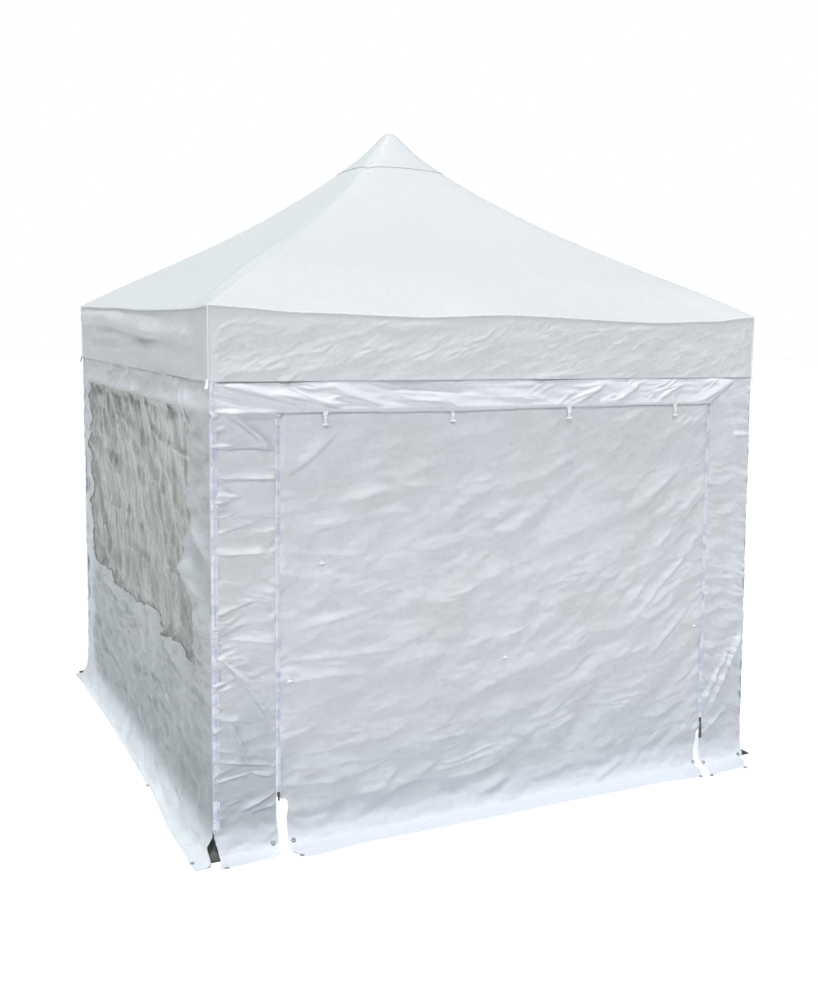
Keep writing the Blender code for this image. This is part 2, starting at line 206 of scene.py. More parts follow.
def tuck(v):
    """How far cloth and zips draw back behind the valances."""
    return 0.011 * ease((v - VALANCE_BOTTOM) / 0.04)


# Meshes

def turned(points, side):
    """Points given for the front, as an array, turned to their own side."""
    c, s = math.cos(TURNS[side]), math.sin(TURNS[side])
    return points @ np.array([[c, s, 0.0], [-s, c, 0.0], [0.0, 0.0, 1.0]])


def on_wall(u, out, z):
    """Places in the round from distance along the front wall, distance out from its face, and height."""
    return np.stack([u, -WALL_FACE - out, z], axis=-1)


def on_roof(x, y, lift):
    return np.stack([x, y, roof_surface(x, y) + lift], axis=-1)


def splayed(points):
    """Places in the round, moved outwards where the walls splay towards the ground."""
    x, y, z = np.moveaxis(np.array(points, float), -1, 0)
    right = (1 + np.clip(x / WALL_FACE, -1, 1)) / 2
    back = (1 + np.clip(y / WALL_FACE, -1, 1)) / 2
    left_part = (1 - right) * ((1 - back) * SPLAY["front_left"] + back * SPLAY["back_left"])
    right_part = right * ((1 - back) * SPLAY["front_right"] + back * SPLAY["back_right"])
    stretch = 1 + (left_part + right_part) * np.clip(1 - z / VALANCE_BOTTOM, 0, 1) / WALL_FACE
    return np.stack([x * stretch, y * stretch, z], axis=-1)


def foot_cover(x, y):
    """Lowest height of cloth over the feet."""
    half = np.maximum(np.abs(np.abs(x) - LEG_AXIS), np.abs(np.abs(y) - LEG_AXIS))
    inward = np.clip((half - FOOT_SOCKET) / (FOOT_HALF - FOOT_SOCKET), 0, 1)
    flare = FOOT_EDGE + FOOT_FLARE * (1 - inward ** (1 / FOOT_FLARE_POWER))
    return (flare + 2 * CLOTH_EDGE) * ease((FOOT_HALF + 0.05 - half) / 0.05)


def settled(points):
    """Cloth in the round: splayed, and lifted over the feet."""
    points = splayed(points)
    points[..., 2] = np.maximum(points[..., 2], foot_cover(points[..., 0], points[..., 1]))
    return points


def linked(name, data):
    """A new object in the scene."""
    thing = bpy.data.objects.new(name, data)
    bpy.context.scene.collection.objects.link(thing)
    return thing


def new_piece(name, points, faces, material, nodes=()):
    """A mesh that rides on the root and takes the place of some of the frame's nodes."""
    mesh = bpy.data.meshes.new(name)
    mesh.from_pydata(points.tolist(), [], faces)
    mesh.validate()
    mesh.materials.append(material)
    piece = linked(name, mesh)
    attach(piece, "root")
    if nodes:
        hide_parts(*nodes)
    return piece


def sheet_piece(name, points, material, nodes, keep=None):
    """A smooth sheet from a grid of points, rows from the bottom. keep marks the cells that are cloth."""
    index = np.arange(points.shape[0] * points.shape[1]).reshape(points.shape[:2])
    quads = np.stack([index[:-1, :-1], index[:-1, 1:], index[1:, 1:], index[1:, :-1]], axis=-1)
    quads = quads.reshape(-1, 4) if keep is None else quads[keep]
    used, faces = np.unique(quads, return_inverse=True)
    cloth = settled(points.reshape(-1, 3)[used])
    piece = new_piece(name, cloth, faces.reshape(-1, 4).tolist(), material, nodes)
    piece.data.shade_smooth()
    return piece


def joined(name, shapes, material, smooth=True):
    """One piece from many (points, faces) shapes."""
    points, faces = [], []
    for shape_points, shape_faces in shapes:
        faces.extend([tuple(len(points) + index for index in face) for face in shape_faces])
        points.extend([tuple(point) for point in shape_points])
    piece = new_piece(name, splayed(points), faces, material)
    if smooth:
        piece.data.shade_smooth()
        piece.data.set_sharp_from_angle(angle=math.radians(40))
    return piece


BOX_FACES = [(0, 3, 2, 1), (4, 5, 6, 7), (0, 1, 5, 4), (1, 2, 6, 5), (2, 3, 7, 6), (3, 0, 4, 7)]


def block(centre, along, across, up):
    """A small box from its centre and three half axes."""
    centre, along, across, up = (np.asarray(x, float) for x in (centre, along, across, up))
    ring = [(-1, -1), (1, -1), (1, 1), (-1, 1)]
    return [centre + a * along + b * across + c * up for c in (-1, 1) for a, b in ring], BOX_FACES


def box(centre, half_u, half_out, half_z):
    """A small box square to the front wall."""
    return block(centre, (half_u, 0, 0), (0, half_out, 0), (0, 0, half_z))


def tube(path, radius, sides=6):
    """A round bar with closed ends along a path of points."""
    path = [Vector(point) for point in path]
    last = len(path) - 1
    points = []
    for i, place in enumerate(path):
        direction = (path[min(i + 1, last)] - path[max(i - 1, 0)]).normalized()
        helper = Vector((0, 0, 1)) if abs(direction.z) < 0.9 else Vector((1, 0, 0))
        a = direction.cross(helper).normalized()
        b = direction.cross(a)
        for k in range(sides):
            angle = 2 * math.pi * k / sides
            points.append(place + (a * math.cos(angle) + b * math.sin(angle)) * radius)
    faces = ring_faces(last + 1, sides)
    faces.append(tuple(range(sides))[::-1])
    faces.append(tuple(last * sides + k for k in range(sides)))
    return points, faces


def ring_faces(rings, sides):
    """Faces between rings of points that follow each other."""
    faces = []
    for start in range(0, (rings - 1) * sides, sides):
        for k in range(sides):
            after = (k + 1) % sides
            faces.append((start + k, start + after, start + sides + after, start + sides + k))
    return faces


# Materials

def new_material(name):
    material = bpy.data.materials.new(name)
    material.use_nodes = True
    return material, material.node_tree, material.node_tree.nodes["Principled BSDF"]


def feed(tree, node, inputs):
    """Links or sets some of a node's inputs."""
    for socket, value in inputs.items():
        if isinstance(value, bpy.types.NodeSocket):
            tree.links.new(value, node.inputs[socket])
        else:
            node.inputs[socket].default_value = value


def add_node(tree, kind, inputs, **settings):
    """A shader node with its settings and inputs."""
    node = tree.nodes.new("ShaderNode" + kind)
    for name, value in settings.items():
        setattr(node, name, value)
    feed(tree, node, inputs)
    return node


def own_place(tree):
    """The piece's own coordinates."""
    return add_node(tree, "TexCoord", {}).outputs["Object"]


def field_node(tree, scale, detail, stretch=(1, 1, 1), turn=(0, 0, 0)):
    """A noise texture in the piece's own coordinates, turned and then stretched."""
    angles = [math.radians(angle) for angle in turn]
    turning = add_node(tree, "Mapping", {"Vector": own_place(tree), "Rotation": angles}).outputs["Vector"]
    place = add_node(tree, "Mapping", {"Vector": turning, "Scale": stretch}).outputs["Vector"]
    return add_node(tree, "TexNoise", {"Vector": place, "Scale": scale, "Detail": detail}).outputs["Fac"]


def mixed(tree, share, low, high, start=0.35, end=0.65):
    """A colour between two, following a field."""
    ramp = add_node(tree, "ValToRGB", {"Fac": share})
    for element, position, colour in zip(ramp.color_ramp.elements, (start, end), (low, high)):
        element.position = position
        element.color = (*colour, 1.0)
    return ramp.outputs["Color"]


def blended(tree, share, low, high, how="MIX"):
    """A colour from two others, either of which may be fixed."""
    low, high = ((*colour, 1.0) if isinstance(colour, tuple) else colour for colour in (low, high))
    return add_node(tree, "Mix", {0: share, 6: low, 7: high}, data_type="RGBA", blend_type=how).outputs[2]


def multiplied(tree, one, other, amount=1.0):
    return blended(tree, amount, one, other, "MULTIPLY")


def scaled(tree, value, factor, other=0.0):
    """value times factor, plus another value."""
    return add_node(tree, "Math", {0: value, 1: factor, 2: other}, operation="MULTIPLY_ADD").outputs[0]


def ranged(tree, value, low, high, start=0.0, end=1.0, how="LINEAR"):
    """A value that goes from low to high while another goes from start to end."""
    limits = {"From Min": start, "From Max": end, "To Min": low, "To Max": high}
    return add_node(tree, "MapRange", {"Value": value, **limits}, interpolation_type=how).outputs["Result"]


def weave(tree, pitch):
    """Crossed threads, the same on walls that face any way."""
    total = 0.0
    for direction in ("X", "Y", "Z"):
        inputs = {"Vector": own_place(tree), "Scale": 0.05 / pitch * 2 * math.pi}
        threads = add_node(tree, "TexWave", inputs, bands_direction=direction).outputs["Fac"]
        total = scaled(tree, threads, 0.33, total)
    return total


def bumped(tree, height, distance):
    return add_node(tree, "Bump", {"Height": height, "Distance": distance, "Strength": 1.0}).outputs["Normal"]


def along_axis(tree, axis):
    return add_node(tree, "SeparateXYZ", {"Vector": own_place(tree)}).outputs[axis]


def axis_node(tree, low, high, axis="Z"):
    """0 below a place along an axis of the object, 1 above another."""
    return ranged(tree, along_axis(tree, axis), 0.0, 1.0, low, high, "SMOOTHSTEP")


def sides_node(tree):
    """0 over the roof's front and back, 1 over its left and right, across the hips."""
    x, y = (add_node(tree, "Math", {0: along_axis(tree, axis)}, operation="ABSOLUTE").outputs[0]
            for axis in "XY")
    apart = add_node(tree, "Math", {0: x, 1: y}, operation="SUBTRACT").outputs[0]
    return ranged(tree, apart, 0.0, 1.0, -0.03, 0.03, "SMOOTHSTEP")


WHITE = (1.0, 1.0, 1.0)
# Where the cloths' painted shade and light blend in: low down, in the left strip, high up and towards the far
# corner.
LOW_SHADE_BLEND = (0.15, 1.1)
STRIP_SHADE_BLEND = (-1.215, -1.185)
HIGH_LIGHT_BLEND = (1.985, 2.03)
FAR_LIGHT_BLEND = (1.22, 1.36)


def cloth_material(name, colour, shade, roughness=0.5, crinkle=1.0, low=None, skirt=None, strip=None,
                   ends=None, high=None, far=None, skirt_blend=(0.01, 0.13)):
    """Coated polyester: two tones in broad patches, fine creases, a weave under a satin coat.

    The two tones are partly the cloth's own uneven tone and partly painted shade of broad billows. It may
    have other tones, all painted light and shade: darker low down and in the front wall's left strip, lighter
    again in the skirt where the cloth turns up to the light, lighter high up by the valance and by the far
    corner, and darker on the roof's front and back than on its sides.
    """
    material, tree, shader = new_material(name)
    # Broad patches in two tones: partly the cloth's own uneven tone, partly painted shade of broad billows.
    tone = mixed(tree, field_node(tree, 2.3, 3.0), shade, colour)
    # Painted shade: darker still low down in the front wall's left strip.
    if strip:
        low = blended(tree, axis_node(tree, *STRIP_SHADE_BLEND, "X"), strip, low)
    # Painted shade low down, and painted light in the skirt where the cloth turns up.
    if skirt:
        tone = blended(tree, axis_node(tree, *LOW_SHADE_BLEND), low, tone)
        tone = blended(tree, axis_node(tree, *skirt_blend), skirt, tone)
    # Painted shade: the roof's front and back darker than its sides.
    if ends:
        tone = multiplied(tree, tone, blended(tree, sides_node(tree), ends, WHITE))
    # Painted light: lighter high up, where the cloth bulges out under the valance.
    if high:
        tone = blended(tree, axis_node(tree, *HIGH_LIGHT_BLEND), tone, high)
    # Painted light: lighter towards the far corner.
    if far:
        tone = blended(tree, axis_node(tree, *FAR_LIGHT_BLEND, "Y"), tone, far)
    # A fine random mottle, darker in spots.
    fine_mottle = mixed(tree, field_node(tree, 38.0, 5.0), (0.93, 0.93, 0.93), WHITE)
    broad = field_node(tree, 9.0, 4.0, (1, 1, 2.6))
    fine = scaled(tree, field_node(tree, 42.0, 5.0, (1, 1, 1.6)), 0.22, broad)
    feed(tree, shader, {
        "Base Color": multiplied(tree, tone, fine_mottle, 0.6),
        "Roughness": ranged(tree, field_node(tree, 14.0, 4.0), roughness - 0.08, roughness + 0.10),
        "Normal": bumped(tree, scaled(tree, weave(tree, 0.0012), 0.012, fine), 0.006 * crinkle),
        "Specular IOR Level": 0.35,
        "Sheen Weight": 0.08,
    })
    return material


def film_material(name):
    """Clear PVC film: hazy grey-beige with pale upright streaks, glossy, with long tight creases.

    The pale and darker streaks in its colour are painted reflection and shade of its creases.
    """
    material, tree, shader = new_material(name)
    lean = (22, 0, 0)
    # Painted reflection and shade: pale and darker streaks along the creases' lean.
    painted_crease_streaks = field_node(tree, 26.0, 5.0, (1.0, 1.0, 0.16), lean)
    tint = mixed(tree, painted_crease_streaks, (0.185, 0.195, 0.168), (0.345, 0.357, 0.333), 0.35, 0.64)
    shade = blended(tree, axis_node(tree, 0.95, 1.55), (0.76, 0.78, 0.78), WHITE)
    patches = mixed(tree, field_node(tree, 3.0, 3.0), (0.86, 0.86, 0.84), WHITE)
    feed(tree, shader, {
        "Base Color": multiplied(tree, multiplied(tree, tint, patches), shade),
        "Alpha": ranged(tree, field_node(tree, 22.0, 5.0, (1, 1, 0.2), lean), 0.72, 0.95, 0.3, 0.7),
        "Roughness": ranged(tree, field_node(tree, 30.0, 4.0), 0.12, 0.34),
        "Normal": bumped(tree, field_node(tree, 22.0, 5.0, (1.0, 1.0, 0.22), lean), 0.007),
    })
    return material


def tape_material(name):
    """Zip tape and teeth: lavender white, with short darker marks of painted shade where the tape is pinched."""
    material, tree, shader = new_material(name)
    # Painted shade: short darker marks along the tape where it is pinched.
    pinch_shade_field = field_node(tree, 24.0, 1.0, (0.05, 0.05, 1.0))
    pinch_shaded_colour = mixed(tree, pinch_shade_field, (0.54, 0.57, 0.68), (0.70, 0.72, 0.81), 0.40, 0.56)
    wear = mixed(tree, field_node(tree, 150.0, 3.0), (0.92, 0.92, 0.94), WHITE)
    feed(tree, shader, {
        "Base Color": multiplied(tree, pinch_shaded_colour, wear, 0.8),
        "Roughness": 0.45,
        "Normal": bumped(tree, weave(tree, 0.0009), 0.0003),
    })
    return material


def plain_material(name, colour, worn, roughness, metallic=0.0, scale=40.0):
    """Moulded plastic or metal: two tones, uneven gloss and a slight grain."""
    material, tree, shader = new_material(name)
    feed(tree, shader, {
        "Base Color": mixed(tree, field_node(tree, scale, 5.0), colour, worn),
        "Roughness": ranged(tree, field_node(tree, 2.5 * scale, 4.0), roughness - 0.1, roughness + 0.12),
        "Metallic": metallic,
        "Normal": bumped(tree, field_node(tree, 8 * scale, 3.0), 0.0006),
    })
    return material


# Roof, valance, front and side cloths are one white cloth at different brightness: lighter on the roof and
# darker on the side walls, as painted light and shade.
ROOF_CLOTH = cloth_material("roof cloth", (0.668, 0.712, 0.735), (0.652, 0.696, 0.717), 0.5, 0.15,
                            ends=(0.902, 0.883, 0.889))
VALANCE_CLOTH = cloth_material("valance cloth", (0.605, 0.630, 0.655), (0.575, 0.600, 0.620), 0.5, 0.5)
FRONT_CLOTH = cloth_material("front cloth", (0.580, 0.602, 0.643), (0.550, 0.576, 0.600), 0.5, 0.7,
                             low=(0.498, 0.525, 0.566), skirt=(0.560, 0.590, 0.652),
                             strip=(0.420, 0.455, 0.496), high=(0.625, 0.648, 0.690))
# Side walls: a darker copy of the cloth, painted shade for walls that face away from the light.
SHADED_SIDE_CLOTH = cloth_material("side cloth", (0.478, 0.511, 0.540), (0.405, 0.442, 0.456), 0.42, 1.0,
                            low=(0.302, 0.341, 0.359), skirt=(0.61, 0.66, 0.70), high=(0.580, 0.618, 0.645),
                            far=(0.55, 0.58, 0.61), skirt_blend=(0.03, 0.18))
FILM = film_material("clear film")
TAPE = tape_material("zip tape")
WEBBING = cloth_material("webbing", (0.78, 0.79, 0.80), (0.72, 0.73, 0.74), 0.6, 0.3)
# Real seam tape and piping, paler than the roof cloth: painted highlight along the eaves, corners and hips.
SEAM_TAPE_HIGHLIGHT = cloth_material("seam tape", (0.72, 0.755, 0.78), (0.66, 0.70, 0.72), 0.5, 0.3)
# Real stitching, in a darker tone: painted shade at the peak cap's lifted edge and along the hips over it.
SHADED_STITCHING = cloth_material("stitching", (0.54, 0.565, 0.585), (0.48, 0.505, 0.525), 0.6, 0.3)
METAL = plain_material("satin aluminium", (0.60, 0.61, 0.63), (0.70, 0.71, 0.72), 0.35, 0.9)
DARK = plain_material("dark painted steel", (0.020, 0.023, 0.025), (0.046, 0.051, 0.053), 0.5)
BRASS = plain_material("nickel eyelet", (0.20, 0.20, 0.19), (0.38, 0.38, 0.37), 0.3, 0.85, 200.0)
SLIDER = plain_material("zip slider", (0.06, 0.06, 0.065), (0.14, 0.14, 0.15), 0.35, 0.4)


# Roof

ROOF_ROWS = 100
ROOF_COLUMNS = 108
ROW_CROWDING = 1.15
PEAK_ROUNDING = 0.030
HIP_ROUNDING = 0.05
PATCH_LIFT = 0.0025

# The lip over the eaves: distances out and down
LIP_PROFILE = [(0.0016, 0.0012), (0.0022, 0.004), (0.0022, 0.012)]

# How far each eave sags, by its place along: (place, drop)
EAVE_DROPS = {
    "front": [(-1.5, 0.0), (-1.05, 0.022), (-0.5, 0.032), (-0.05, 0.016), (0.85, 0.037), (1.2, 0.026),
              (1.5, 0.0)],
    "left": [(-1.5, 0.0), (-0.5, 0.008), (0.43, 0.020), (1.2, 0.014), (1.5, 0.0)],
    "right": [(-1.5, 0.0), (-1.0, 0.022), (0.1, 0.014), (0.9, 0.024), (1.5, 0.0)],
    "back": [(-1.5, 0.0), (-0.9, 0.024), (-0.1, 0.016), (1.0, 0.022), (1.5, 0.0)],
}


def roof_sag(x, y, reach):
    """Drop of the roof towards its sagging eaves."""
    scale = HALF / np.maximum(reach, 0.001)
    across = np.where(y < 0, through(EAVE_DROPS["front"], x * scale), through(EAVE_DROPS["back"], -x * scale))
    along = np.where(x < 0, through(EAVE_DROPS["left"], -y * scale), through(EAVE_DROPS["right"], y * scale))
    return np.where(np.abs(y) >= np.abs(x), across, along) * ease((reach - (HALF - 0.35)) / 0.35)


def roof_height(reach):
    """Height of the roof's top face where the square across it has this half width."""
    share = reach / HALF
    return PEAK - (PEAK - EAVE) * share - ROOF_SAG * share * (1 - share) ** ROOF_SAG_FADE


def roof_surface(x, y):
    """The roof's height over a place: soft along the hips and round at the peak."""
    ax, ay = np.abs(x), np.abs(y)
    reach = np.maximum(ax, ay)
    round_off = HIP_ROUNDING * np.clip(1.1 - reach / HALF, 0.12, 1.0) * ease(reach / 0.15)
    soft = 0.5 * (ax + ay + np.sqrt((ax - ay) ** 2 + round_off ** 2))
    soft = np.sqrt(soft ** 2 + PEAK_ROUNDING ** 2) - PEAK_ROUNDING * np.exp(-soft / 0.15)
    along = np.where(ax > ay, y, x)
    folds = 0.0016 * streaks(along, reach, 31, 0, 0.9, 0.13) * ease((reach - 0.9) / 0.5)
    folds = folds + 0.0009 * wrinkles(along, reach, 32, 2, 0.8, 0.09) * ease((reach - 1.2) / 0.2)
    billow = 0.004 * noise(x / 0.7, y / 0.7, 33) + 0.0012 * noise(x / 0.2, y / 0.2, 34)
    fixed = ease((HALF - reach) / 0.12)
    hip_fold = 0.010 * np.exp(-((ax - ay - 0.16) / 0.06) ** 2) * ease((reach - 0.7) / 0.4) * (y < 0) * (x < 0)
    return roof_height(np.minimum(soft, HALF)) + (billow + folds + hip_fold) * fixed - roof_sag(x, y, reach)


def square_sides(along, edge):
    """The four sides of a square in turn, from the places along its front and its half width."""
    return (along, -edge), (edge, along), (-along, edge), (-edge, -along)


def roof_sheet():
    """The canopy's top: one continuous sheet over all four sides, with a short lip over the eaves."""
    rings = HALF * (np.arange(1, ROOF_ROWS + 1) / ROOF_ROWS) ** ROW_CROWDING
    around = np.linspace(-1, 1, ROOF_COLUMNS + 1)[:-1]
    sides = np.concatenate([np.stack(side, axis=-1) for side in square_sides(around, np.ones(ROOF_COLUMNS))])
    x, y = np.moveaxis(rings[:, None, None] * sides, -1, 0)
    grid = on_roof(x, y, 0.0)
    lips = [grid[-1] * [1 + out / HALF, 1 + out / HALF, 1] - [0, 0, drop] for out, drop in LIP_PROFILE]
    grid = np.concatenate([grid, np.array(lips)])
    rows, columns = grid.shape[:2]
    top = on_roof(np.zeros(1), np.zeros(1), 0.0)
    points = settled(np.concatenate([grid.reshape(-1, 3), top]))
    faces = [(rows * columns, j, (j + 1) % columns) for j in range(columns)]
    faces += [(a, d, c, b) for a, b, c, d in ring_faces(rows, columns)]
    piece = new_piece("canopy_top", points, faces, ROOF_CLOTH,
                      ["roof_front", "roof_right", "roof_back", "roof_left"])
    piece.data.shade_smooth()
    return piece


def peak_cap():
    """The patch sewn over the tip, with a doubled edge."""
    across = np.linspace(-PATCH_REACH, PATCH_REACH, 41)
    x, y = np.meshgrid(across, across)
    edge = np.minimum(PATCH_REACH - np.abs(x), PATCH_REACH - np.abs(y))
    lift = PATCH_LIFT * ease(edge / 0.004 + 0.35) + 0.001 * ease(1 - np.abs(edge - 0.022) / 0.012)
    return sheet_piece("peak_cap", on_roof(x, y, lift), ROOF_CLOTH, ["peak_patch"])


def roof_seams():
    """The flat felled seam along each hip, and the piped seam round the eaves and down the corners.

    Their tape is paler than the roof cloth: a painted highlight along the piping.
    """
    shapes = []
    hip = np.linspace(PATCH_REACH, HALF - 0.004, 110)
    for sx, sy in CORNERS.values():
        shapes.append(tube(on_roof(sx * hip, sy * hip, 0.0006), 0.0014))
        heights = np.linspace(VALANCE_BOTTOM, EAVE - 0.006, 30)
        shapes.append(tube([(sx * (HALF + 0.001), sy * (HALF + 0.001), z) for z in heights], 0.0042, 8))
    u = np.linspace(-HALF, HALF, 160)
    for side, drops in EAVE_DROPS.items():
        line = np.stack([u, np.full(u.shape, -HALF - 0.002), EAVE - 0.0035 - through(drops, u)], axis=-1)
        shapes.append(tube(turned(line, side), 0.0038, 8))
    return joined("roof_seams", shapes, SEAM_TAPE_HIGHLIGHT)


def cap_stitching():
    """Rows of stitching round the peak cap and along the hips that cross it, darker as painted shade at the
    cap's edge.
    """
    along = np.linspace(-PATCH_REACH, PATCH_REACH, 60)
    sides = square_sides(along, np.full(along.shape, PATCH_REACH))
    shapes = [tube(on_roof(x, y, 0.0022), 0.0014) for x, y in sides]
    hip = np.linspace(0.012, PATCH_REACH, 40)
    shapes += [tube(on_roof(sx * hip, sy * hip, PATCH_LIFT), 0.0016) for sx, sy in CORNERS.values()]
    return joined("cap_stitching", shapes, SHADED_STITCHING)


# Valances

# Each valance's seed, how creased it is, and the step of its grid
VALANCES = {"front": (101, 3.4, 0.0066), "left": (104, 2.6, 0.0078), "right": (102, 3.0, 0.013),
            "back": (103, 3.0, 0.013)}
HEM_DEPTH = 0.028
VALANCE_FLARE = 0.002
VALANCE_CLEAR = 0.003

# Distances out and up round the doubled hem
HEM_PROFILE = [(-0.0035, HEM_DEPTH), (-0.0035, 0.008), (-0.0032, 0.0012), (-0.0015, 0.0), (0.0, 0.0015)]

VALANCE_LAYERS = [
    (0.0016, streaks, 0, 8, 0.45, 0.13, 0.15), (0.0007, streaks, 10, 18, 0.18, 0.045, 0.15),
    (0.0011, wrinkles, 20, 24, 0.13, 0.03), (0.00035, streaks, 30, 30, 0.05, 0.014),
]

# Folds placed one by one on a valance, after how steep they are
VALANCE_FOLDS = {
    "front": (0.0, [
        (-1.47, 2.16, -1.18, 2.235, 0.0054, 0.018), (-1.42, 2.165, -1.15, 2.2, 0.00396, 0.012),
        (-1.05, 2.3, -0.74, 2.38, 0.00324, 0.016), (-0.85, 2.24, -0.6, 2.32, 0.00288, 0.012),
        (0.1, 2.135, 0.38, 2.165, 0.00612, 0.014), (0.95, 2.33, 1.2, 2.25, 0.0027, 0.02),
    ]),
    "left": (0.4, [
        (-1.48, 2.385, -0.2, 2.39, 0.0252, 0.04), (-0.6, 2.38, 0.7, 2.33, 0.0252, 0.036),
        (0.2, 2.35, 1.3, 2.32, 0.021, 0.034), (-1.0, 2.3, -0.3, 2.31, 0.0168, 0.03),
        (-0.1, 2.25, 1.0, 2.255, 0.0182, 0.03), (0.4, 2.215, 1.25, 2.205, 0.014, 0.026),
        (-1.2, 2.215, -0.2, 2.23, 0.0112, 0.024),
    ]),
}


def valance(side):
    seed, creased, step = VALANCES[side]
    height = VALANCE_TOP - VALANCE_BOTTOM
    heights = np.linspace(VALANCE_BOTTOM + 0.0015, VALANCE_TOP, round(height / step))
    rows = [(depth, VALANCE_BOTTOM + rise) for depth, rise in HEM_PROFILE] + [(0.0, z) for z in heights[1:]]
    u, z = np.meshgrid(np.linspace(-HALF, HALF, round(2 * HALF / step) + 1), [z for _, z in rows])
    depth = np.array([depth for depth, _ in rows])[:, None]
    steep, folds = VALANCE_FOLDS.get(side, (0.0, []))
    w = creased * layered(u, z, VALANCE_LAYERS, seed) + hand_folds(u, z, folds, steep)
    fade = ease((HALF - np.abs(u)) / 0.05) * ease((VALANCE_TOP - z) / 0.05)
    hem = 0.0014 * ease(1 - (z - VALANCE_BOTTOM) / HEM_DEPTH)
    out = depth + (w + VALANCE_CLEAR + VALANCE_FLARE * ease((VALANCE_TOP - z) / 0.33)) * fade + hem
    z = z - through(EAVE_DROPS[side], u) * (z - VALANCE_BOTTOM) / height
    points = turned(np.stack([u, -HALF - out, z], axis=-1), side)
    piece = sheet_piece("valance_cloth_" + side, points, VALANCE_CLOTH, ["valance_" + side])


# Walls with their skirts

def bend():
    """(out, height, outward part of the normal, upward part, length down) along the turn into the skirt."""
    angle = np.linspace(0, 0.5 * math.pi, BEND_STEPS + 1)
    out = BEND_REACH * (1 - np.cos(angle))
    height = BEND_HEIGHT * (1 - np.sin(angle))
    normal_out = BEND_HEIGHT * np.cos(angle)
    normal_up = BEND_REACH * np.sin(angle)
    size = np.hypot(normal_out, normal_up)
    down = np.concatenate([[0.0], np.cumsum(np.hypot(np.diff(out), np.diff(height)))])
    return out, height, normal_out / size, normal_up / size, down


def wall_rows(top, step):
    """(height of the cloth, place on the bend, share of the flat) for each row, from the hem up."""
    rows = [(-1.0, BEND_STEPS, share) for share in np.linspace(1, 0, FLAT_STEPS + 1)[:-1]]
    rows += [(-1.0, place, 0.0) for place in range(BEND_STEPS, 0, -1)]
    fine_top = min(top, VALANCE_BOTTOM + HIDDEN_MARGIN)
    fine_steps = round((fine_top - BEND_HEIGHT) / step)
    rows += [(z, 0, 0.0) for z in np.linspace(BEND_HEIGHT, fine_top, fine_steps + 1)]
    if top > fine_top:
        hidden_steps = round((top - fine_top) / HIDDEN_STEP)
        rows += [(z, 0, 0.0) for z in np.linspace(fine_top, top, hidden_steps + 1)[1:]]
    return rows


def wall_points(rows, u_of, reach, field):
    """Places of a wall's cloth from the hem of its skirt to its top.

    u_of gives the places along the wall for a cloth height, reach how far the skirt runs out, and field the
    folds.
    """
    out_bend, height_bend, normal_out, normal_up, down = bend()
    lines = []
    for z, place, share in rows:
        if place == 0:
            u = u_of(z)
            lines.append(on_wall(u, field(u, z + 0 * u), z + 0 * u))
            continue
        cloth_height = BEND_HEIGHT - down[place]
        run = (through(reach, u_of(cloth_height)) - BEND_REACH) * share
        u = u_of(cloth_height - 0.12 * share)
        w = field(u, cloth_height - run) * (1 - 0.85 * share ** 5)
        damp = 1 - 0.5 * place / BEND_STEPS
        out = out_bend[place] + run + normal_out[place] * w * damp
        lowest = CLOTH_EDGE + (HEM_HEIGHT - CLOTH_EDGE) * share ** 6
        lowest = lowest + 0.24 * np.abs(w) * normal_up[place] * (1 - share ** 6)
        lines.append(on_wall(u, out, np.maximum(height_bend[place] + normal_up[place] * w * damp, lowest)))
    return np.array(lines)


def edge_of(points):
    """An edge that shifts with the cloth's height, and stays put above its highest point."""
    return lambda z: float(through(points, np.clip(z, points[0][0], points[-1][0])))


def between(left, right, columns):
    """A u_of for wall_points: evenly spaced places between two edges that shift with the cloth's height."""
    share = np.linspace(0, 1, columns)
    left_of, right_of = edge_of(left), edge_of(right)
    return lambda z: left_of(z) + (right_of(z) - left_of(z)) * share


# Reach of each skirt's hem from the wall: (place along the wall, distance)
FRONT_REACH = [
    (-1.55, 0.141), (-1.5, 0.141), (-1.4, 0.138), (-1.25, 0.130), (-1.17, 0.133), (-1.13, 0.184),
    (-0.8, 0.161), (-0.25, 0.169), (0.32, 0.166), (0.91, 0.170), (1.10, 0.194), (1.165, 0.199),
    (1.41, 0.185), (1.55, 0.185),
]
LEFT_REACH = [(-1.6, 0.090), (-1.2, 0.080), (-0.4, 0.072), (0.6, 0.080), (1.19, 0.114), (1.6, 0.112)]
PLAIN_REACH = [(-1.6, 0.145), (-0.9, 0.165), (-0.1, 0.145), (0.8, 0.160), (1.6, 0.135)]

# Edges of the front wall's cloth by its height: (height, place along)
FRONT_LEFT_END = [(-0.145, -1.502), (0.0, -1.484), (0.10, -1.4962)]
SLIT_LEFT_STRIP = [(-0.145, -1.248), (-0.05, -1.206), (0.05, -1.202), (0.21, -1.204),
                   (SLIT_TOP + 0.03, -1.198)]
SLIT_LEFT_DOOR = [(-0.145, -1.135), (-0.10, -1.165), (0.0, -1.157), (0.203, -1.151), (0.219, -1.190)]
SLIT_RIGHT_DOOR = [(-0.145, 1.090), (-0.05, 1.145), (0.066, 1.165), (0.14, 1.190), (SLIT_TOP + 0.02, 1.208)]
SLIT_RIGHT_STRIP = [(-0.145, 1.150), (-0.05, 1.185), (0.047, 1.205), (0.135, 1.212), (SLIT_TOP + 0.03, 1.220)]
FRONT_RIGHT_END = [(-0.145, 1.384), (-0.06, 1.445), (0.02, 1.488), (0.10, 1.4962)]

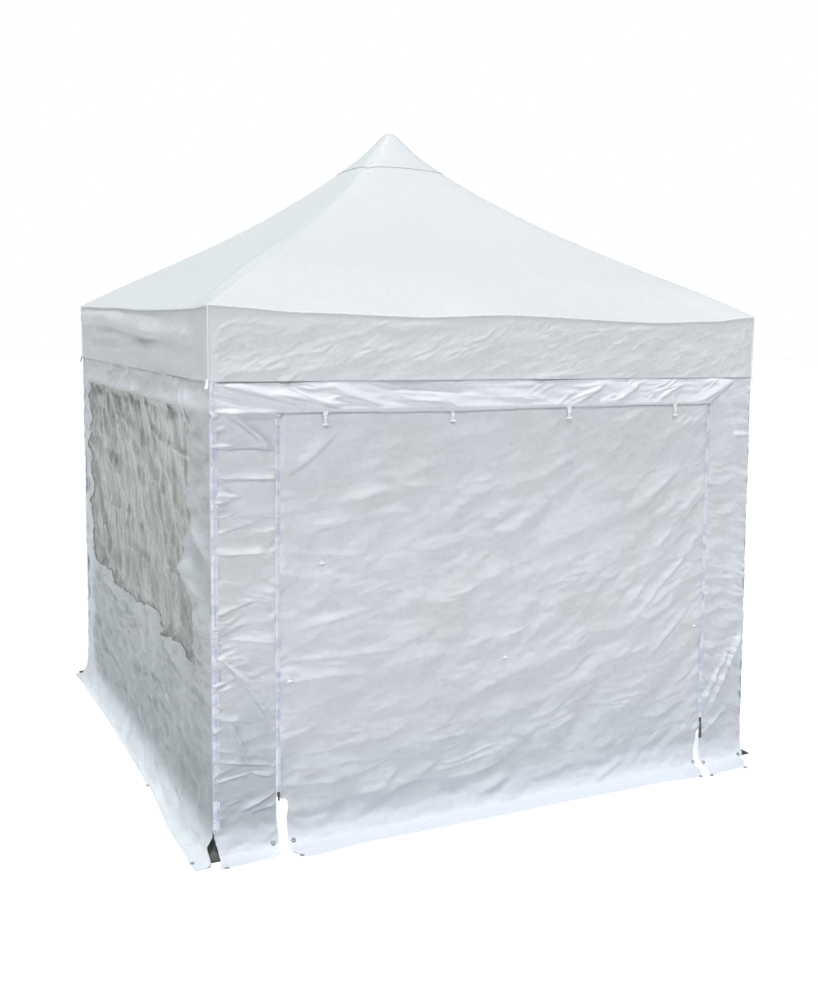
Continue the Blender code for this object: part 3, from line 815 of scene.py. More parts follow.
HEADER_FOLDS = [
    (-1.47, 2.125, -1.08, 2.03, 0.0142, 0.018, 0.004), (-1.21, 2.082, -0.9, 2.018, 0.0123, 0.015, 0.003),
    (-0.93, 2.088, -0.7, 2.022, 0.0095, 0.014, 0.002), (-0.74, 2.11, -0.19, 2.075, -0.0114, 0.022),
    (-0.66, 2.05, -0.3, 2.03, 0.0057, 0.013), (-0.1, 2.06, 0.2, 2.03, 0.0042, 0.013),
    (0.34, 2.012, 0.53, 2.105, 0.0104, 0.015), (0.6, 2.02, 0.75, 2.105, 0.0095, 0.015),
    (0.86, 2.03, 1.02, 2.1, 0.0057, 0.015), (1.13, 2.005, 1.38, 2.125, 0.0104, 0.016),
]
STRIP_FOLDS = [
    (-1.42, 1.99, -1.24, 1.845, 0.012, 0.016, 0.01), (-1.49, 2.002, -1.2, 1.996, 0.0048, 0.009),
    (-1.48, 1.853, -1.19, 1.842, 0.0068, 0.009, 0.003), (-1.48, 1.716, -1.18, 1.702, 0.0072, 0.009, 0.002),
    (-1.48, 1.64, -1.35, 1.63, 0.0044, 0.009), (-1.48, 1.47, -1.28, 1.52, 0.0036, 0.009),
    (-1.48, 1.38, -1.25, 1.372, 0.0052, 0.009), (-1.49, 1.105, -1.3, 1.16, 0.004, 0.009),
    (-1.49, 1.01, -1.22, 0.96, 0.0044, 0.009), (-1.49, 0.935, -1.29, 0.74, 0.006, 0.009),
    (-1.43, 0.88, -1.23, 0.6, 0.0116, 0.016, 0.008), (-1.42, 0.62, -1.33, 0.4, 0.0084, 0.009),
    (-1.49, 0.64, -1.24, 0.59, 0.004, 0.009), (-1.49, 0.44, -1.22, 0.385, 0.006, 0.009),
    (-1.49, 0.345, -1.31, 0.372, 0.0072, 0.009), (-1.32, 0.366, -1.23, 0.335, 0.006, 0.009),
    (-1.38, 0.185, -1.21, 0.255, 0.008, 0.01), (-1.34, 0.17, -1.2, 0.205, 0.006, 0.009),
    (1.39, 1.822, 1.49, 1.819, 0.006, 0.01), (1.28, 0.29, 1.5, 0.74, 0.01, 0.012),
    (1.24, 0.33, 1.4, 0.62, 0.0064, 0.01), (1.22, 0.15, 1.42, 0.3, 0.006, 0.01),
]
DOOR_FOLDS = [
    (-1.18, 1.7, -0.93, 1.905, 0.013, 0.022, -0.012), (-1.17, 1.373, -0.83, 1.322, 0.0068, 0.014),
    (-1.16, 1.56, -0.4, 1.64, 0.0081, 0.03), (-1.1, 1.44, -0.55, 1.53, 0.0076, 0.022, 0.01),
    (-1.17, 0.99, -0.72, 1.075, 0.0068, 0.02), (-1.16, 0.86, -0.62, 0.85, 0.0081, 0.014),
    (-1.17, 0.77, -0.75, 0.76, 0.0058, 0.014), (-1.17, 0.27, -0.9, 0.255, 0.0081, 0.014),
    (-1.14, 0.13, -0.6, 0.19, 0.0063, 0.014), (-1.165, 0.205, -1.09, 0.06, 0.0144, 0.014),
    (0.52, 0.01, 0.72, 0.1, 0.0115, 0.014), (-0.2, 0.045, 0.02, 0.12, 0.0086, 0.014),
    (0.62, 1.88, 1.16, 1.64, -0.0063, 0.03), (0.8, 0.9, 1.17, 1.25, 0.0076, 0.014),
    (0.86, 0.64, 1.17, 0.93, 0.0068, 0.014), (0.88, 1.2, 1.17, 1.54, 0.0063, 0.014),
]
STRIP_LAYERS = [
    (0.0100, puckers, 212, -WALL_FACE + ZIP_WIDTH, 0.085, 0.026, 0.25),
    (0.0044, puckers, 213, DOOR_LEFT - ZIP_WIDTH / 2, 0.05, 0.034),
    (0.0040, puckers, 214, DOOR_RIGHT + ZIP_WIDTH / 2, 0.05, 0.040, -0.3),
    (0.0060, puckers, 215, WALL_FACE - ZIP_WIDTH, 0.08, 0.034, -0.5),
    (0.0034, streaks, 216, -8, 0.16, 0.05, 0.2), (0.0020, wrinkles, 217, -20, 0.12, 0.03),
    (0.0030, streaks, 220, 14, 0.22, 0.09, 0.2),
]

# How far the header bulges out over the door, by height, and the strips just under it
HEADER_BULGE = [(1.6, 0.0), (1.95, 0.040), (2.06, 0.016), (2.10, 0.011), (2.125, 0.005), (2.14, -0.002),
                (2.6, -0.002)]
STRIP_BULGE = 0.028
HEADER_SWELL = 1.5
STRIP_SWELL = 2.2
HEM_RIDGE = 0.0034
SEAM_SAG = 0.008
DOOR_TILT_START = 1.66
DOOR_TILT = 0.0215


def front_slack(u, v):
    """Soft waves shared by everything in the front wall, so that its pieces stay together."""
    w = 0.0035 * streaks(u, v, 201, 12, 1.1, 0.42) + 0.0016 * streaks(u, v, 202, 20, 0.6, 0.17)
    return w * ease((v + 0.1) / 0.25)


def under_header(v):
    """How far the bulge of the strips reaches at a height below the header."""
    return STRIP_BULGE * ease((v - DOOR_TOP + 0.035) / 0.04)


def surround_field(u, v):
    """Folds of the header, which bulges out over the door, and of the two strips beside the door."""
    in_strip = ease((np.abs(u - DOOR_DRIFT) - DOOR_HALF) / 0.02)
    in_header = ease((v - DOOR_TOP + 0.005) / 0.03)
    on_right = ease((u + 0.1) / 0.4)
    header = hand_folds(u, v, HEADER_FOLDS) * ease((v - DOOR_TOP) / 0.02)
    header = header + 0.0050 * wrinkles(u, v, 211, -14, 0.22, 0.035) * (1 - on_right)
    header = header + 0.0050 * wrinkles(u, v, 218, 20, 0.20, 0.035) * on_right
    header = header + 0.0020 * streaks(u, v, 219, -6, 0.12, 0.03)
    header = HEADER_SWELL * header + HEM_RIDGE * ease(1.4 - np.abs(v - DOOR_TOP - 0.004) / 0.008)
    w = front_slack(u, v) + header * in_header * ease((2.135 - v) / 0.02) - tuck(v)
    bulge = through(HEADER_BULGE, v) * in_header + under_header(v) * (1 - in_header)
    right_end = DOOR_RIGHT + 0.02 + 1.36 * (v - DOOR_TOP)
    w = w + bulge * ease((right_end - u) / 0.035) * ease((WALL_FACE + u) / 0.12)
    strip = hand_folds(u, v, STRIP_FOLDS) + layered(u, v, STRIP_LAYERS)
    return w + STRIP_SWELL * strip * in_strip * (1 - in_header)


def door_field(u, v):
    """Folds of the door panel: broad lens-shaped waves that rise to the right, steeper near the right zip."""
    from_left = u + DOOR_HALF
    level = v - (0.09 * from_left - 0.02) * from_left
    rough = 0.75 + 0.7 * noise(u / 0.5, v / 0.4, 240)
    w = front_slack(u, v) + 0.0120 * streaks(u, level, 221, 2, 0.34, 0.125, 0.22)
    w = w + rough * layered(u, level, [(0.0075, streaks, 222, 12, 0.19, 0.075, 0.22),
                                       (0.0060, streaks, 232, -14, 0.15, 0.070, 0.2),
                                       (0.0040, wrinkles, 223, 4, 0.22, 0.060)])
    w = w + 0.0022 * noise(u / 0.045, v / 0.035, 224)
    w = w + 0.0045 * wrinkles(u, level, 225, 24, 0.18, 0.050) * ease((u - 0.5) / 0.6)
    w = w + ease((0.75 - v) / 0.4) * layered(u, v, [(0.0048, wrinkles, 227, 3, 0.36, 0.05),
                                                    (0.00288, streaks, 228, 2, 0.4, 0.07)])
    w = w + layered(u, v, [(0.0070, puckers, 229, DOOR_LEFT + ZIP_WIDTH / 2, 0.075, 0.034, 0.15),
                           (0.0120, puckers, 230, DOOR_RIGHT - ZIP_WIDTH / 2, 0.09, 0.038, 0.6)])
    w = w + hand_folds(u, v, DOOR_FOLDS)
    sides = ease((DOOR_HALF - np.abs(u - DOOR_DRIFT)) / 0.03)
    top = DOOR_TILT * ease((v - DOOR_TILT_START) / (DOOR_TOP - DOOR_TILT_START))
    return w * ease((DOOR_TOP + 0.01 - v) / 0.05) * (0.35 + 0.65 * sides) + top * sides - 0.002


def front_surround():
    """Header and side strips in one cloth, round the door, with their two skirts."""
    rows = wall_rows(WALL_TOP, 0.0036)
    strip = round((WALL_FACE - DOOR_HALF) / 0.0055)
    middle = round(2 * DOOR_HALF / 0.0055)
    tables = (FRONT_LEFT_END, SLIT_LEFT_STRIP, SLIT_RIGHT_STRIP, FRONT_RIGHT_END)
    edges = [edge_of(points) for points in tables]

    def u_of(z):
        a, b, c, d = (edge(z) for edge in edges)
        centre = np.linspace(b, c, middle + 1)[1:-1]
        return np.concatenate([np.linspace(a, b, strip + 1), centre, np.linspace(c, d, strip + 1)])

    points = wall_points(rows, u_of, FRONT_REACH, surround_field)
    keep = np.ones((points.shape[0] - 1, points.shape[1] - 1), bool)
    door_rows = int(np.argmin(np.abs(np.array([row[0] for row in rows]) - DOOR_TOP)))
    seam = points[door_rows, strip:strip + middle + 1]
    seam[:, 2] = DOOR_TOP - 0.004 - SEAM_SAG * np.exp(-((seam[:, 0] + 0.35) / 0.45) ** 2)
    keep[:door_rows, strip:strip + middle] = False
    nodes = ["front_header", "front_strip_left", "front_strip_right", "skirt_front_left", "skirt_front_right"]
    return sheet_piece("front_surround", points, FRONT_CLOTH, nodes, keep)


def door_cloth():
    """The roll-up door panel and its skirt."""
    u_of = between(SLIT_LEFT_DOOR, SLIT_RIGHT_DOOR, round(2 * DOOR_HALF / 0.0088))
    points = wall_points(wall_rows(DOOR_TOP + 0.006, 0.0061), u_of, FRONT_REACH, door_field)
    piece = sheet_piece("door_cloth", points, FRONT_CLOTH, ["door_panel", "skirt_door"])


# Window walls

WINDOW_LEFT, WINDOW_RIGHT = -1.24, 1.155
WINDOW_LOW, WINDOW_HIGH = 0.82, 2.0
FILM_DEPTH = 0.014
FILM_LAP = 0.13

# How far the cloth pulls each edge of a window out of line, by its height or by its place along the wall
LEFT_EDGE = [(0.82, -0.02), (0.97, -0.05), (1.20, -0.075), (1.29, -0.02), (1.45, -0.05), (1.66, -0.095),
             (1.79, 0.02), (1.90, -0.075), (1.96, -0.07), (2.0, -0.02)]
RIGHT_EDGE = [(0.83, 0.08), (1.02, 0.07), (1.15, 0.04), (1.275, -0.02), (1.43, -0.01), (1.57, -0.04),
              (1.71, -0.015), (1.82, -0.045), (1.94, 0.0), (2.0, 0.01)]
LOW_EDGE = [(-1.25, 0.036), (-0.80, 0.038), (-0.43, 0.0), (-0.13, 0.012), (0.07, 0.024), (0.20, 0.04),
            (0.32, 0.065), (0.42, 0.06), (0.58, 0.0), (0.98, 0.017), (1.07, -0.022), (1.25, 0.02)]

# Ends of each wall's cloth, by its height
LEFT_WALL_ENDS = ([(-0.145, -1.525), (0.10, -1.4955)],
                  [(-0.145, 1.6), (0.005, 1.6), (0.035, 1.48), (0.09, 1.4955)])
RIGHT_WALL_ENDS = ([(-0.145, -1.300), (-0.03, -1.420), (0.10, -1.4955)], [(-0.145, 1.510), (0.10, 1.4955)])
BACK_WALL_ENDS = ([(-0.145, -1.505), (0.10, -1.4962)], [(-0.145, 1.505), (0.10, 1.4962)])

LEFT_WALL_FOLDS = [
    (0.88, 2.125, 1.02, 2.01, 0.011, 0.022), (0.97, 2.125, 1.12, 2.005, 0.013, 0.022),
    (1.08, 2.12, 1.22, 2.0, 0.011, 0.022), (1.26, 1.98, 1.2, 1.74, 0.02, 0.05),
    (1.22, 1.76, 1.16, 1.5, 0.017, 0.045), (1.44, 1.68, 1.14, 1.6, 0.009, 0.024),
    (1.2, 1.52, 1.45, 1.36, 0.013, 0.03), (1.12, 1.42, 1.3, 1.2, 0.026, 0.05, 0.01),
    (1.19, 1.34, 1.43, 0.95, 0.034, 0.065, 0.012), (1.06, 1.02, 1.22, 0.84, 0.026, 0.05),
    (1.22, 1.3, 1.46, 1.06, 0.011, 0.022), (1.16, 1.02, 1.44, 0.86, 0.013, 0.02),
    (1.06, 0.9, 1.34, 0.8, 0.013, 0.022), (0.62, 0.775, 1.05, 0.74, 0.015, 0.024),
    (-1.2, 0.815, -0.8, 0.8, 0.014, 0.022), (-0.86, 0.78, -0.38, 0.775, 0.015, 0.022),
    (-0.42, 0.775, 0.1, 0.8, 0.013, 0.02), (-0.75, 0.7, 0.02, 0.735, 0.012, 0.02),
    (0.1, 0.845, 0.36, 0.875, 0.009, 0.018), (-1.3, 0.62, -0.6, 0.56, 0.011, 0.03),
    (-0.3, 0.62, 0.6, 0.56, 0.013, 0.034), (0.4, 0.48, 1.3, 0.42, 0.013, 0.032),
    (-1.1, 0.42, -0.2, 0.36, 0.012, 0.03), (1.05, 0.66, 1.42, 0.5, 0.012, 0.026),
]
FILM_FOLDS = [
    (-0.4, 1.815, -0.12, 1.8, 0.009, 0.013), (0.33, 1.838, 0.6, 1.786, 0.011, 0.014),
    (0.6, 1.79, 1.12, 1.76, 0.009, 0.012), (-0.92, 1.275, -0.38, 1.28, 0.006, 0.012),
    (-0.12, 1.134, 0.27, 1.098, 0.015, 0.015), (0.62, 1.176, 1.04, 1.168, 0.012, 0.014),
    (0.32, 1.09, 0.44, 0.915, 0.012, 0.015), (-0.66, 1.625, -0.39, 1.466, 0.008, 0.016),
    (0.35, 1.615, 0.67, 1.5, 0.007, 0.016), (0.85, 1.5, 1.1, 1.46, 0.008, 0.012),
]
SIDE_LAYERS = [
    (0.0070, streaks, 0, -8, 0.7, 0.26, 0.2), (0.0090, streaks, 1, 6, 0.34, 0.10, 0.2),
    (0.0070, streaks, 2, -12, 0.26, 0.060, 0.2), (0.0060, wrinkles, 3, -20, 0.26, 0.05),
    (0.0100, streaks, 9, -48, 0.34, 0.13), (0.0040, streaks, 12, 25, 0.16, 0.045, 0.2),
    (0.0020, wrinkles, 13, -4, 0.30, 0.030), (0.0012, streaks, 14, -16, 0.22, 0.034, 0.2),
    (0.0050, puckers, 7, WALL_FACE, 0.09, 0.045), (0.0040, puckers, 8, -WALL_FACE, 0.08, 0.045),
]
LOW_SIDE_LAYERS = [(0.0030, wrinkles, 13, -4, 0.30, 0.030), (0.0024, streaks, 14, -16, 0.22, 0.034, 0.2)]
FILM_LAYERS = [
    (0.0110, streaks, 0, -62, 0.38, 0.11), (0.0060, streaks, 1, -70, 0.26, 0.055),
    (0.0060, wrinkles, 2, -54, 0.22, 0.055), (0.0024, wrinkles, 3, -66, 0.14, 0.034),
    (0.0080, streaks, 5, -12, 0.34, 0.10, 0.2),
]
BACK_LAYERS = [
    (0.0070, streaks, 501, -12, 0.8, 0.3), (0.0046, streaks, 502, -20, 0.4, 0.11),
    (0.0040, wrinkles, 503, -22, 0.32, 0.08), (0.0050, puckers, 504, WALL_FACE, 0.08, 0.045),
    (0.0050, puckers, 505, -WALL_FACE, 0.08, 0.045),
]


def near(x, place, width):
    """1 at a place, fading away on both sides of it."""
    return np.exp(-((x - place) / width) ** 2)


def from_ends(u, width):
    """0 at both ends of a wall, 1 further in than a width."""
    return ease((WALL_FACE - np.abs(u)) / width)


def window_shift(u, v, seed):
    """How far the cloth round the window is pulled out of line, along the wall and up it."""
    shift_u = near(u, WINDOW_LEFT, 0.16) * through(LEFT_EDGE, v)
    shift_u = shift_u + near(u, WINDOW_RIGHT, 0.16) * through(RIGHT_EDGE, v)
    shift_v = near(v, WINDOW_LOW, 0.14) * (through(LOW_EDGE, u) + 0.007 * noise(u / 0.07, 0 * u, seed))
    shift_v = shift_v + near(v, WINDOW_HIGH, 0.09) * 0.004 * noise(u / 0.3, 0 * u, seed + 3)
    return shift_u * from_ends(u, 0.1), shift_v


def inside_window(u, v):
    """How far a place lies inside the pulled edges of a window."""
    from_left = u - WINDOW_LEFT - through(LEFT_EDGE, v)
    from_right = WINDOW_RIGHT + through(RIGHT_EDGE, v) - u
    from_low = v - WINDOW_LOW - through(LOW_EDGE, u)
    return np.minimum(np.minimum(from_left, from_right), np.minimum(from_low, WINDOW_HIGH - v))


def side_wall_field(u, v, seed, strength):
    """A crumpled side wall: broad billows, short level creases, hard crumples round the window.

    Over the window the cloth stands out in a band, dented here and there.
    """
    w = layered(u, v, SIDE_LAYERS, seed) + ease((1.3 - v) / 0.6) * layered(u, v, LOW_SIDE_LAYERS, seed)
    rim = near(np.maximum(-inside_window(u, v), 0.0), 0.0, 0.07) * (1 - 0.65 * near(u, WINDOW_LEFT, 0.12))
    w = w + rim * 0.0080 * wrinkles(u, v, seed + 5, -20, 0.18, 0.045)
    w = w + rim * 0.0070 * noise(u / 0.11, v / 0.04, seed + 6)
    above = ease((v - WINDOW_HIGH + 0.02) / 0.03)
    slope = np.clip((VALANCE_BOTTOM - 0.02 - v) / 0.11, 0, 1) ** 1.3
    w = strength * w * (1 - 0.6 * above) + 0.034 * above * slope * from_ends(u, 0.30)
    dents = ease(1.5 * noise(u / 0.28, 0 * v + 2, seed + 10)) * (1 + noise(u / 0.06, v / 0.03, seed + 11))
    w = w - 0.018 * dents * near(v, 2.082, 0.028)
    return w * from_ends(u, 0.05) * ease((VALANCE_BOTTOM + 0.008 - v) / 0.05) - tuck(v)


def left_field(u, v):
    folds = hand_folds(u, v, LEFT_WALL_FOLDS) * ease((VALANCE_BOTTOM - v) / 0.03)
    return side_wall_field(u, v, 301, 1.3) + folds


def right_field(u, v):
    return side_wall_field(u, v, 401, 1.2)


def back_field(u, v):
    return layered(u, v, BACK_LAYERS) * ease((WALL_TOP - v) / 0.06) * from_ends(u, 0.05) - tuck(v)


def nearest(values, value):
    return int(np.argmin(np.abs(values - value)))


def window_wall(side, seed, step, field, ends, reach):
    """A side wall in one cloth with its skirt, with the window left out."""
    rows = wall_rows(WALL_TOP, step)
    points = wall_points(rows, between(*ends, round(2 * WALL_FACE / step) + 1), reach, field)
    heights = np.array([row[0] for row in rows])
    upright = heights > BEND_HEIGHT
    top_row = points[-1, :, 0]
    first, last = nearest(top_row, WINDOW_LEFT), nearest(top_row, WINDOW_RIGHT)
    low, high = nearest(heights, WINDOW_LOW), nearest(heights, WINDOW_HIGH)
    shift_u, shift_v = window_shift(points[..., 0], points[..., 2], seed)
    points[..., 0] += shift_u * upright[:, None]
    points[..., 2] += shift_v * upright[:, None]
    points[upright, :, 1] = -WALL_FACE - field(points[upright, :, 0], points[upright, :, 2])
    keep = np.ones((points.shape[0] - 1, points.shape[1] - 1), bool)
    keep[low:high, first:last] = False
    piece = sheet_piece(side + "_wall_cloth", turned(points, side), SHADED_SIDE_CLOTH,
                        [side + "_wall", "skirt_" + side], keep)


def window_film(side, seed, step, field, folds):
    """Clear film with long creases that fall steeply to the right, sewn in behind the window's edges."""
    columns = round((WINDOW_RIGHT - WINDOW_LEFT + 2 * FILM_LAP) / step)
    rows = round((WINDOW_HIGH - WINDOW_LOW + 0.07) / step)
    u, v = np.meshgrid(np.linspace(WINDOW_LEFT - FILM_LAP, WINDOW_RIGHT + FILM_LAP, columns),
                       np.linspace(WINDOW_LOW - 0.05, WINDOW_HIGH + 0.02, rows))
    w = layered(u, v, FILM_LAYERS, seed) + 0.0060 * noise(u / 0.5, v / 0.5, seed + 4)
    w = w + hand_folds(u, v, folds)
    sewn = ease(1 - inside_window(u, v) / 0.05)
    out = field(u, v) * sewn + w * (1 - sewn) - FILM_DEPTH * (1 - 0.6 * sewn)
    points = turned(on_wall(u, out, v), side)
    piece = sheet_piece(side + "_window_film", points, FILM, [side + "_window"])


def back_wall():
    step = 0.018
    u_of = between(*BACK_WALL_ENDS, round(2 * WALL_FACE / step) + 1)
    points = turned(wall_points(wall_rows(WALL_TOP, step), u_of, PLAIN_REACH, back_field), "back")
    piece = sheet_piece("back_wall_cloth", points, SHADED_SIDE_CLOTH, ["back_wall", "skirt_back"])


# Zips

DOOR_TAPE_HALF = 0.42 * ZIP_WIDTH
CORNER_TAPE_HALF = 0.58 * ZIP_WIDTH
TAPE_LIFT = 0.0022
TOOTH_PITCH = 0.0065

# Half of the tape's cross section: (share of its half width, rise)
TAPE_PROFILE = [(1.0, 0.0), (0.55, 0.0003), (0.30, 0.0007), (0.22, 0.0018), (0.0, 0.0022)]


def zip_piece(node, side, centre, low, high, field, seed, half):
    """A zip's tape, which follows the cloth under it, and its interlocked teeth."""
    z = np.linspace(low, high, round((high - low) / 0.01) + 1)
    u = centre + 0.0012 * noise(z / 0.09, 0 * z, seed)
    out = field(u, z) + TAPE_LIFT + 0.0030 * noise(z / 0.05, 0 * z + 3, seed) * (z < VALANCE_BOTTOM)
    profile = [(-share, rise) for share, rise in TAPE_PROFILE] + TAPE_PROFILE[-2::-1]
    rows = [on_wall(u + share * half, out + rise, z) for share, rise in profile]
    name = node + "_tape"
    sheet_piece(name, turned(np.stack(rows, axis=1), side), TAPE, [node])
    across, through_tape = turned(np.array([[0.0022, 0, 0], [0, 0.0008, 0]]), side)
    teeth = []
    for height in np.arange(low + 0.01, high, TOOTH_PITCH):
        place, depth = np.interp(height, z, u), np.interp(height, z, out) + 0.0026
        for sign in (-1, 1):
            tooth = turned(on_wall(place + sign * 0.0014, depth, height + sign * TOOTH_PITCH / 4), side)
            teeth.append(block(tooth, across, through_tape, (0, 0, 0.0011)))
    joined(name + "_teeth", teeth, TAPE, smooth=False)


def zip_base(u, z):
    """Cloth under the zips of the front wall."""
    return front_slack(u, z) + 0.0005 - tuck(z) + under_header(z) * (u < 0) * (z < DOOR_TOP)


def zips():
    """Both door zips, and the zip at each wall's left end, seen from outside."""
    for node, centre, seed in (("door_zip_left", DOOR_LEFT, 601), ("door_zip_right", DOOR_RIGHT, 602)):
        zip_piece(node, "front", centre, SLIT_TOP - 0.012, DOOR_TOP + 0.002, zip_base, seed, DOOR_TAPE_HALF)
    corners = (("front_left", "front", zip_base, 603), ("front_right", "right", right_field, 604),
               ("back_right", "back", back_field, 605), ("back_left", "left", left_field, 606))
    for corner, side, field, seed in corners:
        zip_piece("corner_zip_" + corner, side, -CORNER_ZIP_PLACE, CORNER_ZIP_LOW, WALL_TOP - 0.1, field,
                  seed, CORNER_TAPE_HALF)


# Each door zip's slider: place along, foot of its pull, and the pull's half widths at the top and bottom
SLIDERS = [(DOOR_LEFT, 0.212, 0.0035, 0.0045), (DOOR_RIGHT, 0.138, 0.0040, 0.0105)]


def zip_sliders():
    """A slider body at the foot of each door zip, with its pull: short at the left, long at the right."""
    shapes = []
    for u, low, top_half, low_half in SLIDERS:
        z = SLIT_TOP - 0.010
        out = height_at(zip_base, u, z) + 0.006
        shapes.append(box(on_wall(u, out, z), 0.0062, 0.0035, 0.011))
        shapes.append(box(on_wall(u, out + 0.005, z + 0.002), 0.002, 0.002, 0.006))
        middle = (z + low) / 2
        points, faces = box(on_wall(u, out + 0.004, middle), 1.0, 0.0012, (z - low) / 2)
        pull = []
        for x, y, height in points:
            half = top_half if height > middle else low_half
            pull.append((u + (x - u) * half, y, height))
        shapes.append((pull, faces))
    joined("zip_sliders", shapes, SLIDER, smooth=False)


# Ties, eyelets and small fittings

# Ties under the header: places along, the loop's (rise, distance out) from its top, and its half widths
TIE_PLACES = [-0.981, -0.338, 0.312, 0.968]
TIE_LOOP = [(0.003, 0.007), (-0.018, 0.012), (-0.034, 0.008), (-0.054, 0.010)]
TIE_HALVES = (0.012, 0.008, 0.0065)
TIE_BAR_HALF = 0.014
TOGGLE_PLACES = [(-0.985, 1.303), (-1.145, 0.772), (-0.016, 0.741), (1.155, 0.780)]


def header_ties():
    """Webbing loops with a toggle, sewn in under the header to hold the rolled-up door."""
    shapes = []
    for u in TIE_PLACES:
        base = height_at(door_field, u, DOOR_TOP - 0.03)
        for (rise_a, out_a), (rise_b, out_b), half in zip(TIE_LOOP, TIE_LOOP[1:], TIE_HALVES):
            centre = on_wall(u, base + (out_a + out_b) / 2, DOOR_TOP + (rise_a + rise_b) / 2)
            up = (0, -(out_b - out_a) / 2, (rise_a - rise_b) / 2)
            shapes.append(block(centre, (half, 0, 0), (0, 0.0009, 0), up))
        bar = [on_wall(u + x, base + 0.011, DOOR_TOP - 0.061 + 0.002 * abs(x) / TIE_BAR_HALF)
               for x in (-TIE_BAR_HALF, -0.010, 0.010, TIE_BAR_HALF)]
        shapes.append(tube(bar, 0.0048, 10))
    return joined("header_ties", shapes, WEBBING)


def door_toggles():
    """Small toggles on the door panel, each held by a short loop."""
    shapes = []
    for u, z in TOGGLE_PLACES:
        base = height_at(door_field, u, z)
        bar = [on_wall(u + x, base + 0.006, z + 0.1 * x) for x in (-0.012, -0.008, 0.008, 0.012)]
        shapes.append(tube(bar, 0.0042, 10))
        shapes.append(box(on_wall(u, base + 0.003, z + 0.006), 0.003, 0.002, 0.010))
    joined("door_toggles", shapes, WEBBING)


def corner_ties():
    """The tail of webbing that hangs out under the valance at each corner."""
    shapes = []
    for sx, sy in CORNERS.values():
        top = np.array([sx * (HALF + 0.002), sy * (HALF - 0.004), VALANCE_BOTTOM + 0.012])
        low = top + np.array([sx * 0.012, sy * 0.010, -0.042])
        across = (0.006, -0.002 * sx * sy, 0.0)
        shapes.append(block((top + low) / 2, across, (0.0004, 0.0010, 0.0), (top - low) / 2))
    joined("corner_ties", shapes, WEBBING, smooth=False)


# Places of the eyelets on each side's skirt: (place along, distance out)
PLAIN_EYELETS = [(-0.422, 0.120), (-0.328, 0.050), (0.574, 0.125), (0.646, 0.050), (1.478, 0.110)]
EYELETS = {
    "front": [(1.152, 0.040), (1.212, 0.050), (1.082, 0.192), (1.144, 0.202), (1.456, 0.046),
              (1.382, 0.192), (-1.134, 0.038), (-1.136, 0.160), (-1.466, 0.034), (-1.476, 0.138),
              (-1.230, 0.034)],
    "left": [(-1.496, 0.050), (-0.422, 0.058), (-0.328, 0.010), (0.574, 0.084), (0.646, 0.016),
             (1.528, 0.106)],
    "right": [(-1.390, 0.040), *PLAIN_EYELETS],
    "back": [(-1.478, 0.040), *PLAIN_EYELETS],
}
EYELET_SIDES = 20

# The pressed ring's cross section: (radius, rise)
EYELET_PROFILE = [(0.0105, 0.0006), (0.0093, 0.0022), (0.0070, 0.0025), (0.0058, 0.0016),
                  (0.0058, 0.0002)]


def skirt_slope(out):
    """Height of the skirt's cloth at a distance out from the wall, and its fall there in radians."""
    if out >= BEND_REACH:
        return CLOTH_EDGE, 0.0
    turn = math.acos(1 - out / BEND_REACH)
    fall = math.atan2(BEND_HEIGHT * math.cos(turn), BEND_REACH * math.sin(turn))
    return BEND_HEIGHT * (1 - math.sin(turn)) + CLOTH_EDGE, fall


def eyelet(u, out, side):
    """A pressed ring with a hollow middle, lying on the skirt or on the cloth over a foot."""
    height, fall = skirt_slope(out)
    place = splayed(turned(on_wall(u, out, height), side))
    lift = max(float(foot_cover(place[0], place[1])) - height, 0.0)
    if lift > 0:
        fall = 0.0
    centre = on_wall(u, out, height + lift)
    normal = np.array([0.0, -math.sin(fall), math.cos(fall)])
    down = np.array([0.0, -math.cos(fall), -math.sin(fall)])
    points = []
    for radius, rise in EYELET_PROFILE:
        for k in range(EYELET_SIDES):
            angle = 2 * math.pi * k / EYELET_SIDES
            across = np.array([radius * math.cos(angle), 0.0, 0.0])
            points.append(turned(centre + across + radius * math.sin(angle) * down + rise * normal, side))
    return points, ring_faces(len(EYELET_PROFILE), EYELET_SIDES)


def eyelets():
    shapes = [eyelet(u, out, side) for side, places in EYELETS.items() for u, out in places]
    joined("skirt_eyelets", shapes, BRASS)


def finish_frame_metal():
    """Metal on the frame's own nodes that still show."""
    for name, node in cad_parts.items():
        if node.hide_render:
            continue
        node.data.materials.clear()
        node.data.materials.append(DARK if name.startswith("foot_") else METAL)
        node.data.shade_smooth()
        node.data.set_sharp_from_angle(angle=math.radians(30))


# Stage, light and camera

FLOOR_HALF = 60.0
INSIDE_POWER = 85.0
INSIDE_SIZE = 2.6


def floor():
    mesh = bpy.data.meshes.new("floor")
    corners = [(x * FLOOR_HALF, y * FLOOR_HALF, 0) for x, y in CORNERS.values()]
    mesh.from_pydata(corners, [], [(0, 1, 2, 3)])
    material, _, shader = new_material("floor")
    shader.inputs["Base Color"].default_value = (0.84, 0.84, 0.845, 1.0)
    shader.inputs["Roughness"].default_value = 0.9
    mesh.materials.append(material)
    linked("floor", mesh)


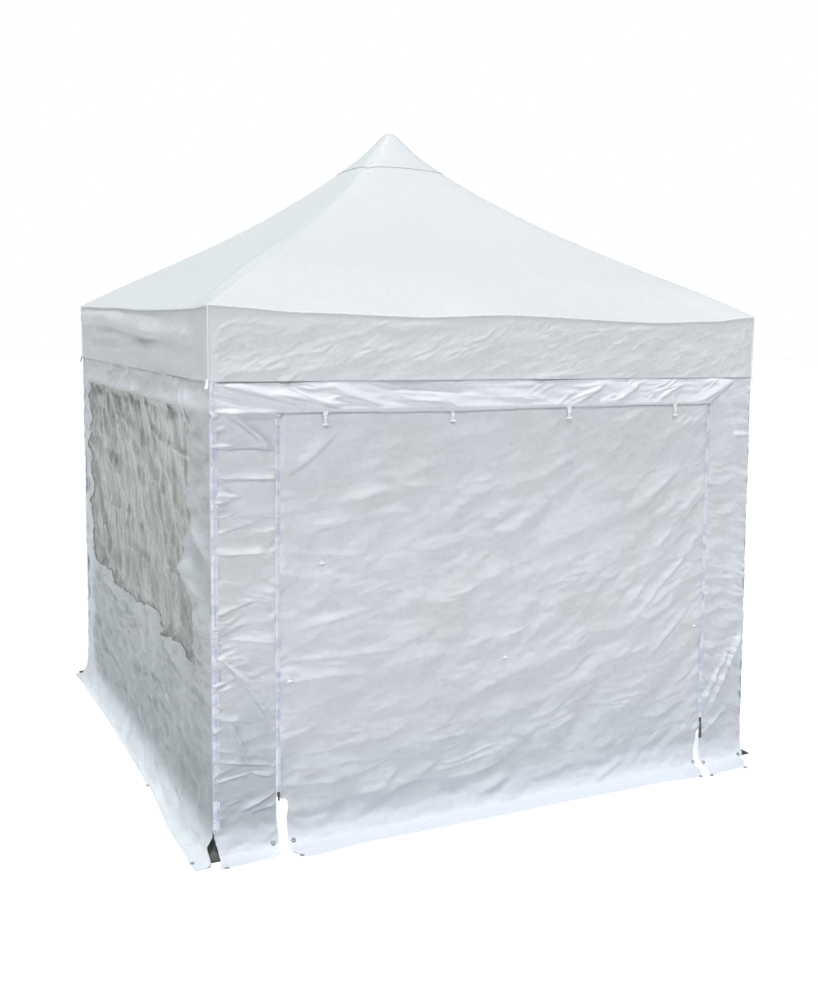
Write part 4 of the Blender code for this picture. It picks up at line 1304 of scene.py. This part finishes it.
def sky():
    """White behind the object, and a dimmer, soft light from all round it."""
    world = bpy.data.worlds.new("studio")
    world.use_nodes = True
    tree = world.node_tree
    behind = tree.nodes["Background"]
    feed(tree, behind, {"Color": (1.0, 1.0, 1.0, 1.0), "Strength": 1.0})
    soft = add_node(tree, "Background", {"Color": (0.93, 0.97, 1.0, 1.0), "Strength": 0.14})
    seen = add_node(tree, "LightPath", {}).outputs["Is Camera Ray"]
    both = {"Fac": seen, 1: soft.outputs["Background"], 2: behind.outputs["Background"]}
    choice = add_node(tree, "MixShader", both)
    feed(tree, tree.nodes["World Output"], {"Surface": choice.outputs["Shader"]})
    bpy.context.scene.world = world


def lamp(name, direction, strength, softness):
    """A far, soft light that shines along a direction."""
    data = bpy.data.lights.new(name, "SUN")
    data.energy = strength
    data.angle = math.radians(softness)
    light = linked(name, data)
    light.rotation_mode = "QUATERNION"
    light.rotation_quaternion = Vector(direction).to_track_quat("-Z", "Y")


def inside_lamp():
    """Daylight that comes in through the roof cloth and falls on the ground."""
    data = bpy.data.lights.new("inside light", "AREA")
    data.energy = INSIDE_POWER
    data.size = INSIDE_SIZE
    light = linked("inside light", data)
    light.location = (0.0, 0.0, VALANCE_BOTTOM - 0.15)
    light.visible_camera = False


def camera():
    yaw, pitch, roll = (math.radians(angle) for angle in (YAW_DEGREES, PITCH_DEGREES, ROLL_DEGREES))
    ahead = Vector((math.sin(yaw) * math.cos(pitch), math.cos(yaw) * math.cos(pitch), math.sin(pitch)))
    level = Vector((math.cos(yaw), -math.sin(yaw), 0.0))
    upward = level.cross(ahead)
    right = level * math.cos(roll) + upward * math.sin(roll)
    top = upward * math.cos(roll) - level * math.sin(roll)
    data = bpy.data.cameras.new("camera")
    data.lens = LENS
    data.sensor_width = SENSOR
    data.shift_x, data.shift_y = SHIFT
    data.clip_end = 200.0
    view = linked("camera", data)
    view.matrix_world = Matrix.Translation(EYE) @ Matrix((right, top, -ahead)).transposed().to_4x4()
    bpy.context.scene.camera = view


def studio():
    floor()
    sky()
    lamp("top light", (0.05, 0.10, -1.0), 2.4, 12)
    lamp("front light", (0.36, 0.62, -0.65), 2.0, 14)
    inside_lamp()
    bpy.context.scene.view_settings.view_transform = "Standard"


def build():
    camera()
    studio()
    canopy = roof_sheet()
    cap = peak_cap()
    seams = roof_seams()
    stitches = cap_stitching()
    for side in VALANCES:
        valance(side)
    surround = front_surround()
    door_cloth()
    window_wall("left", 341, 0.0095, left_field, LEFT_WALL_ENDS, LEFT_REACH)
    window_film("left", 351, 0.0082, left_field, FILM_FOLDS)
    window_wall("right", 441, 0.018, right_field, RIGHT_WALL_ENDS, PLAIN_REACH)
    window_film("right", 451, 0.016, right_field, [])
    back_wall()
    zips()
    zip_sliders()
    ties = header_ties()
    door_toggles()
    corner_ties()
    eyelets()
    finish_frame_metal()


build()
